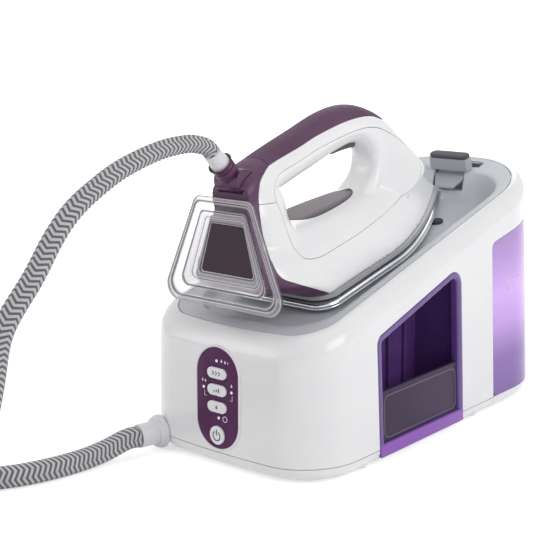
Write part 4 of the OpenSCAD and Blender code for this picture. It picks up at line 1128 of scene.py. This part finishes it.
def sweep(path, n=40):
    """A bar of rounded section through rows of (y, z, half height, half width)."""
    rows = catmull(path, 5)
    rings = []
    for i, (y, z, hh, hw) in enumerate(rows):
        p, q = rows[max(0, i - 1)], rows[min(len(rows) - 1, i + 1)]
        a = atan2(q[1] - p[1], q[0] - p[0])
        ring = []
        for k in range(n):
            c, s = cos(2 * pi * k / n), sin(2 * pi * k / n)
            ex = copysign(abs(c) ** 0.8, c)
            ez = copysign(abs(s) ** 0.8, s)
            ring.append((hw * ex, y - hh * ez * sin(a), z + hh * ez * cos(a)))
        rings.append(ring)
    return loft(rings)


handle_path = [(-38, 100, 3, GRIP_HW - 4), (-33, 102, 6, GRIP_HW - 1), (-25, 106, 11, GRIP_HW + 2.5),
               (-14, 110, 15, GRIP_HW + 4.5), (0, 112.6, 16.6, GRIP_HW + 3.2), (10, 114, 17, GRIP_HW + 1.5),
               (35, 116.2, 17.8, GRIP_HW), (68, 118.6, 18.2, GRIP_HW - 1), (102, 121, 18.4, GRIP_HW - 1),
               (130, 119.3, 17.2, GRIP_HW), (TIP_Y - 112, 110.3, 16.6, GRIP_HW),
               (TIP_Y - 98, 96, 19.5, GRIP_HW + 1), (TIP_Y - 90, 79, 25, GRIP_HW + 3),
               (TIP_Y - 84, 61, 33, GRIP_HW + 7), (TIP_Y - 78, 41, 40, GRIP_HW + 12)]
post_path = [(2, 34, 32, 44), (-3, 56, 31, 36), (-6, 76, 29, 30), (-4, 94, 28, 27), (-5, 110, 23, 22),
             (-6, 122, 12, 17)]
web_path = [(TIP_Y - 144, 50, 8, GRIP_HW + 3), (TIP_Y - 128, 54.5, 8, GRIP_HW + 2),
            (TIP_Y - 116, 60.5, 8, GRIP_HW + 1), (TIP_Y - 108, 70, 8, GRIP_HW),
            (TIP_Y - 105, 82, 8, GRIP_HW - 1)]
iron_form = make("iron_form", loft([body_ring(*row) for row in catmull(body_rows, 5)]), T_IRON)
for path in (handle_path, post_path, web_path):
    carve(iron_form, sweep(path), T_IRON, "UNION")
mod = iron_form.modifiers.new("even", "REMESH")
mod.mode = "VOXEL"
mod.voxel_size = 0.0013
mod = iron_form.modifiers.new("soft", "SMOOTH")
mod.factor = 0.5
mod.iterations = 9
bake(iron_form)

STAND_SEAT = 9.6
SEAT_TOP = 97.0
POCKET_R, POCKET_HW = 10.6, 13.4
SWIVEL_SWING = 15.0


def trim(ob, shape, how="DIFFERENCE", matrix=T_IRON):
    """A quick cut for the closed forms of the iron."""
    carve(ob, shape, matrix, how, "MANIFOLD")


trim(iron_form, prism_x(box_2d(-80, STAND_SEAT, -60, SEAT_TOP), -100, 100), matrix=T_STAND)
trim(iron_form, prism_x(box_2d(-90, 300, -40, SKIRT_TOP + 0.3), -100, 100))
trim(iron_form, prism_x(disc(POCKET_R, 48), -POCKET_HW, POCKET_HW), matrix=T_SWIVEL)
for swing in (-SWIVEL_SWING, 0, SWIVEL_SWING):
    trim(iron_form, turned([(0, 10.5), (40, 12.5)], 40, "Z"), matrix=T_NECK @ turn(swing, "X"))

# Borders between the iron's pieces, seen from the side
heel_edge = catmull([(30, -2), (24, 8), (8, 19.5), (-5.6, 28.9), (-17.9, 37.5), (-27.4, 45.2), (-29.8, 53),
                     (-27, 62), (-22.5, 74.9), (-19.9, 91), (-13.5, 108), (-7.2, 117.5), (1.9, 121.9),
                     (11.2, 124.9)], 8) + [(10.8, 128), (9.5, 134), (9, 160)]
heel_2d = [(-90, -2)] + heel_edge + [(-90, 160)]
grip_edge = catmull([(11.2, 124.9), (26.8, 125.8), (52, 126.4), (80, 128), (120, 127), (150, 121),
                     (182, 107), (205, 120)], 8)
grip_2d = grip_edge + [(205, 170), (9, 170), (9, 160), (9.5, 134), (10.8, 128)]
saddle_pts = [(80, 117), (47.9, 115.5), (22.2, 115), (14.1, 111.1), (5.7, 106.8), (1.9, 99.4), (3.2, 81.9),
              (1.8, 64), (1.2, 56.9), (2.3, 51.3), (7, 47.9), (13.5, 45.8), (24.8, 44.2), (52.8, 43.8),
              (94.3, 43), (159.9, 40.2), (184, 43.5), (198.6, 50.3), (206, 59), (202, 70), (189, 84),
              (174, 96), (156, 108), (130, 115)]
saddle_2d = catmull(saddle_pts[-2:] + saddle_pts + saddle_pts[:2], 8)[16:-9]


def region(poly, grow):
    return prism_x(offset_2d(poly, grow), -100, 100)


def iron_copy(name):
    return put(name, iron_form.data.copy())


def stand_ring(k, y, *more):
    """Outline of the heel stand, k inside its edge and y forward of its rear face."""
    w0, w1, z0, z1 = 64 - k * 1.44, 34 - k * 0.65, k * 1.09, 90 - k * 0.9
    r0, r1 = max(13 - 0.42 * k, 2.5), max(8 - 0.25 * k, 2)
    pts = arc(w0 - r0, z0 + r0, r0, -90, 15, 16) + arc(w1 - r1, z1 - r1, r1, 15, 90, 12)
    pts += arc(r1 - w1, z1 - r1, r1, 90, 165, 12) + arc(r0 - w0, z0 + r0, r0, 165, 270, 16)
    return [(x, y, z, *more) for x, z in pts]


SEAM_HALF = 0.25
iron_body = iron_copy("white_body")
for poly in (heel_2d, grip_2d, saddle_2d):
    trim(iron_body, region(poly, SEAM_HALF))
post_seam = [(-23, 104), (-12, 101.2), (4, 97)]
trim(iron_body, prism_x(strip(post_seam, SEAM_HALF), -100, 100))
saddle = iron_copy("white_saddle")
trim(saddle, region(saddle_2d, -SEAM_HALF), "INTERSECT")
trim(saddle, region(grip_2d, SEAM_HALF))
trigger_well = prism_x(box_2d(99, 138.5, 90, 124), -6.4, 6.4)
trim(saddle, trigger_well)
trim(iron_body, trigger_well)
grip = iron_copy("plum_grip")
trim(grip, region(grip_2d, -SEAM_HALF), "INTERSECT")
heel = iron_copy("plum_heel")
trim(heel, region(heel_2d, -SEAM_HALF), "INTERSECT")

# Plum oval on the saddle, seen from above
INLAY_LIFT = 0.35
inlay_edge = catmull([(0, 34.5), (7, 35), (13, 37.6), (17.2, 42), (19.6, 49), (20.4, 57), (20, 70),
                      (18.6, 84), (16.4, 98), (13, 110), (8.4, 119), (3.8, 123.6), (0, 125)], 4)
inlay_2d = inlay_edge[:-1] + [(-x, y) for x, y in inlay_edge[:0:-1]]
inlay = iron_copy("plum_inlay")
trim(inlay, prism_z(inlay_2d, 40, 92), "INTERSECT")
inlay.data.transform(Matrix.Translation((T_IRON.to_3x3() @ Vector((0, 0, INLAY_LIFT))) * MM))
stand_in(inlay, dark_plum, "indicator_panel", angle=50)

# Boss of the heel behind the stand, with its dark window
BOSS_RING = 18.2
BOSS_FOOT = 4.6
BOSS_FOOT_Z = 45
BOSS_MID_Z = 55
WINDOW_RING = 24.7
boss_rows = [(9.1, 1.0), (14, 1.0), (26, 0.66)]
boss_2d = [(x, z - BOSS_FOOT * max(0, 1 - z / BOSS_FOOT_Z)) for x, _, z in stand_ring(BOSS_RING, 0)]
boss_rings = [[(x * s, y, lerp(BOSS_MID_Z, z, s)) for x, z in boss_2d] for y, s in boss_rows]
boss = make("tool", loft(boss_rings), T_STAND)
trim(boss, region(heel_2d, -SEAM_HALF), "INTERSECT")
cut(heel, boss, "UNION", "MANIFOLD")
window_form = loft([stand_ring(WINDOW_RING, 6.3), stand_ring(WINDOW_RING, 10.8)])
trim(heel, window_form, matrix=T_STAND)
fit(make("heel_window", window_form, T_STAND), dark_plum, "iron")
drop(iron_form)
stand_in(iron_body, iron_white, "iron_body", angle=50)
stand_in(saddle, iron_white, "iron_saddle", angle=50)
stand_in(grip, soft_plum, "handle_grip", angle=50)
stand_in(heel, plum, "heel_cover", angle=50)


def soft_rings(rings):
    """One round of corner cutting on all rings but the first and the last."""
    return corner_cut(rings, [True] + [False] * (len(rings) - 2) + [True], 1)


# Rows of the soleplate and of the skirt: inset and height
sole_rows = [(4, 0), (1.2, 0.6), (0.1, 1.8), (0.2, 3), (1.3, 3.4), (1.3, 4), (0, 4.4), (0.2, 5.8), (2, 7)]
sole = make("polished_sole", loft(soft_rings([sole_ring(*row) for row in sole_rows])), T_IRON)
stand_in(sole, polished, "soleplate", angle=40)
shield = make("dark_gap", loft([sole_ring(5, 7), sole_ring(5, 9)]), T_IRON)
stand_in(shield, heat_gap, "heat_shield")
skirt_rows = [(8, 9), (2.4, 9), (2.0, 11), (1.8, 14.3), (8, 14.3)]
skirt = make("grey_band", loft(soft_rings([sole_ring(*row) for row in skirt_rows])), T_IRON)
stand_in(skirt, grey_skirt, "iron_skirt", angle=40)

# Clear heel stand, in rows from the inside out: inset, depth, and how strongly the painted edge highlight
# and reflection shows
stand_back = [(24.5, 6.4, 0.7), (23.4, 6.0, 1.0), (22.9, 5.2, 0.7), (22.0, 4.2, 0.5), (20.6, 3.8, 0.5),
              (19.6, 3.6, 0.7), (19.0, 3.4, 0.95), (18.4, 3.0, 0.7), (17.2, 1.9, 0.5), (15.4, 1.5, 0.46),
              (14.4, 1.1, 0.7), (13.6, 0.6, 1.0), (12.9, 0.5, 1.0), (12.3, 0.5, 0.5), (11.4, 0.6, 0.06),
              (7.4, 0.9, 0.04), (6.4, 0.8, 0.4), (5.6, 0.6, 0.7), (4.9, 0.3, 1.0), (4.2, 0.0, 1.0),
              (3.6, -0.4, 0.7), (2.6, -0.5, 0.4), (1.4, -0.3, 0.4), (0.7, 0.2, 0.7), (0.2, 0.7, 1.0)]
stand_front = [(0, 1.4, 1.0), (0.3, 2.4, 1.0), (0.8, 3.0, 0.4), (2.4, 3.7, 0.2), (4.6, 3.2, 0.1),
               (6.2, 2.9, 0.0), (11.8, 2.8, 0.0), (13.2, 3.0, 0.0), (14.6, 3.8, 0.0), (17.2, 4.4, 0.0),
               (18.6, 5.8, 0.0), (21.8, 6.4, 0.0), (23.2, 8.4, 0.0), (24.5, 8.8, 0.0)]
stand_rings = soft_rings([stand_ring(*row) for row in stand_back + stand_front])
stand = make("clear_stand", loft([[p[:3] for p in ring] for ring in stand_rings]), T_STAND)
# Painted edge light for each point, from the last value of its row.
edge = stand.data.attributes.new("edge", "FLOAT", "POINT")
edge.data.foreach_set("value", [p[3] for ring in stand_rings for p in ring])
stand_in(stand, clear, "heel_stand", angle=40)

dress("steam_trigger", charcoal, 1.2)

# Trigger spring: a coil of wire
SPRING_Y = 122.0
SPRING_R = 2.5
WIRE_R = 0.45
SPRING_TURNS = 4
TURN_STEPS = 24
spring_z = [(T_IRON.inverted() @ (v.co / MM)).z for v in cad["trigger_spring"].data.vertices]
SPRING_LOW, SPRING_TOP = min(spring_z), max(spring_z)
spring_rings = []
for i in range(TURN_STEPS * SPRING_TURNS + 1):
    turned_by = 2 * pi * i / TURN_STEPS
    rise = lerp(SPRING_LOW + WIRE_R, SPRING_TOP - WIRE_R, i / (TURN_STEPS * SPRING_TURNS))
    ring = []
    for x, z in arc(SPRING_R, rise, WIRE_R, 0, 360, 10)[:-1]:
        ring.append((x * cos(turned_by), SPRING_Y + x * sin(turned_by), z))
    spring_rings.append(ring)
spring = make("coil_spring", loft(spring_rings), T_IRON)
stand_in(spring, steel, "trigger_spring")
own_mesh(spring)

# Hose swivel: barrel and ribbed cup, with the pale collar of the hose in it
BARREL_R, BARREL_HW = 10.0, 12.9
PIN_SCALE = 0.8
cup_rows = [(2, 8.8), (8, 8.9), (8.3, 9.2), (10.4, 9.3), (10.8, 8.6), (11.6, 8.6), (12, 9.4), (15.8, 9.5),
            (16.2, 8.7), (17, 8.7), (17.4, 9.5), (20.4, 9.7), (21.6, 10.5), (22.1, 10.4), (21.8, 9.6),
            (19.6, 8.2)]
collar_rows = [(18.5, 8.1), (21.5, 8.2), (26, 7.7), (31, 7.3), (34.6, 7.2)]
cup = make("swivel_cup", prism_x(disc(BARREL_R, 56), -BARREL_HW, BARREL_HW), T_SWIVEL)
bevel(cup, 0.8)
carve(cup, turned(cup_rows, 56, "Z"), T_NECK, "UNION")
stand_in(cup, plum, "hose_swivel", angle=40)
pin = dress("swivel_pin", steel)
pin.data.transform(Matrix.Diagonal((PIN_SCALE, 1, 1, 1)))
collar = make("hose_collar", turned(collar_rows, 56, "Z"), T_NECK)
fit(collar, cuff_white, body_of["hose_swivel"])

# Floor, world and lamps

FLOOR = 3.0
floor_mesh = bpy.data.meshes.new("floor")
floor_mesh.from_pydata([(x, y, 0) for x, y in box_2d(-FLOOR, FLOOR, -FLOOR, FLOOR)], [], [(0, 1, 2, 3)])
floor = put("floor", floor_mesh)


def seen_rays(tree):
    """One for rays that meet the eye straight, mirrored or through a clear piece."""
    path = tree.nodes.new("ShaderNodeLightPath")
    seen = path.outputs["Is Camera Ray"]
    for kind in ("Is Glossy Ray", "Is Transmission Ray"):
        either = add(tree, "ShaderNodeMath", operation="MAXIMUM")
        tree.links.new(seen, either.inputs[0])
        wire(path, kind, either, 1)
        seen = either.outputs["Value"]
    return seen


NEAR_GLOW = 0.5


def floor_material():
    mat, tree, shader = new_material("floor_paper")
    tune(shader, Roughness=0.9, Specular_IOR_Level=0.0)
    grain = add(tree, "ShaderNodeTexNoise", Scale=40.0, Detail=3.0)
    tint = ramp(tree, grain.outputs["Fac"], [(0.3, lin(248, 248, 248)), (0.7, lin(252, 252, 252))])
    wire(tint, "Color", shader, "Base Color")
    glow = tree.nodes.new("ShaderNodeEmission")
    away = add(tree, "ShaderNodeVectorMath", operation="LENGTH")
    wire(tree.nodes.new("ShaderNodeTexCoord"), "Object", away, 0)
    rise = add(tree, "ShaderNodeMapRange", From_Min=0.35, From_Max=1.1, To_Min=NEAR_GLOW, To_Max=1.0)
    wire(away, "Value", rise, "Value")
    lift = add(tree, "ShaderNodeMath", operation="MULTIPLY")
    tree.links.new(seen_rays(tree), lift.inputs[0])
    wire(rise, "Result", lift, 1)
    wire(lift, "Value", glow, "Strength")
    both = tree.nodes.new("ShaderNodeAddShader")
    wire(shader, "BSDF", both, 0)
    wire(glow, "Emission", both, 1)
    wire(both, "Shader", tree.nodes["Material Output"], "Surface")
    return mat


floor_mesh.materials.append(floor_material())

world = bpy.data.worlds.new("studio")
scene.world = world
world.use_nodes = True
sky = world.node_tree
back = tune(sky.nodes["Background"], Color=(1, 1, 1, 1))
level = add(sky, "ShaderNodeMapRange", To_Min=0.4, To_Max=1.0)
sky.links.new(seen_rays(sky), level.inputs["Value"])
wire(level, "Result", back, "Strength")


def lamp(name, place, aim, size, power):
    data = bpy.data.lights.new(name, "AREA")
    data.shape = "RECTANGLE"
    data.size, data.size_y = size
    data.energy = power
    ob = put(name, data)
    ob.location = place
    ob.rotation_euler = (Vector(aim) - Vector(place)).to_track_quat("-Z", "Y").to_euler()


MIDDLE = (0, 0, 0.15)
lamp("key_right", (1.5, -0.1, 0.95), MIDDLE, (1.1, 1.1), 11.8)
lamp("fill_front", (-0.9, -1.4, 0.9), MIDDLE, (1.2, 1.0), 7.2)
lamp("top", (0.0, 0.2, 1.7), MIDDLE, (1.4, 1.4), 3.5)
lamp("rear", (-0.8, 1.3, 0.9), MIDDLE, (1.0, 1.0), 4)

scene.view_settings.view_transform = "Standard"
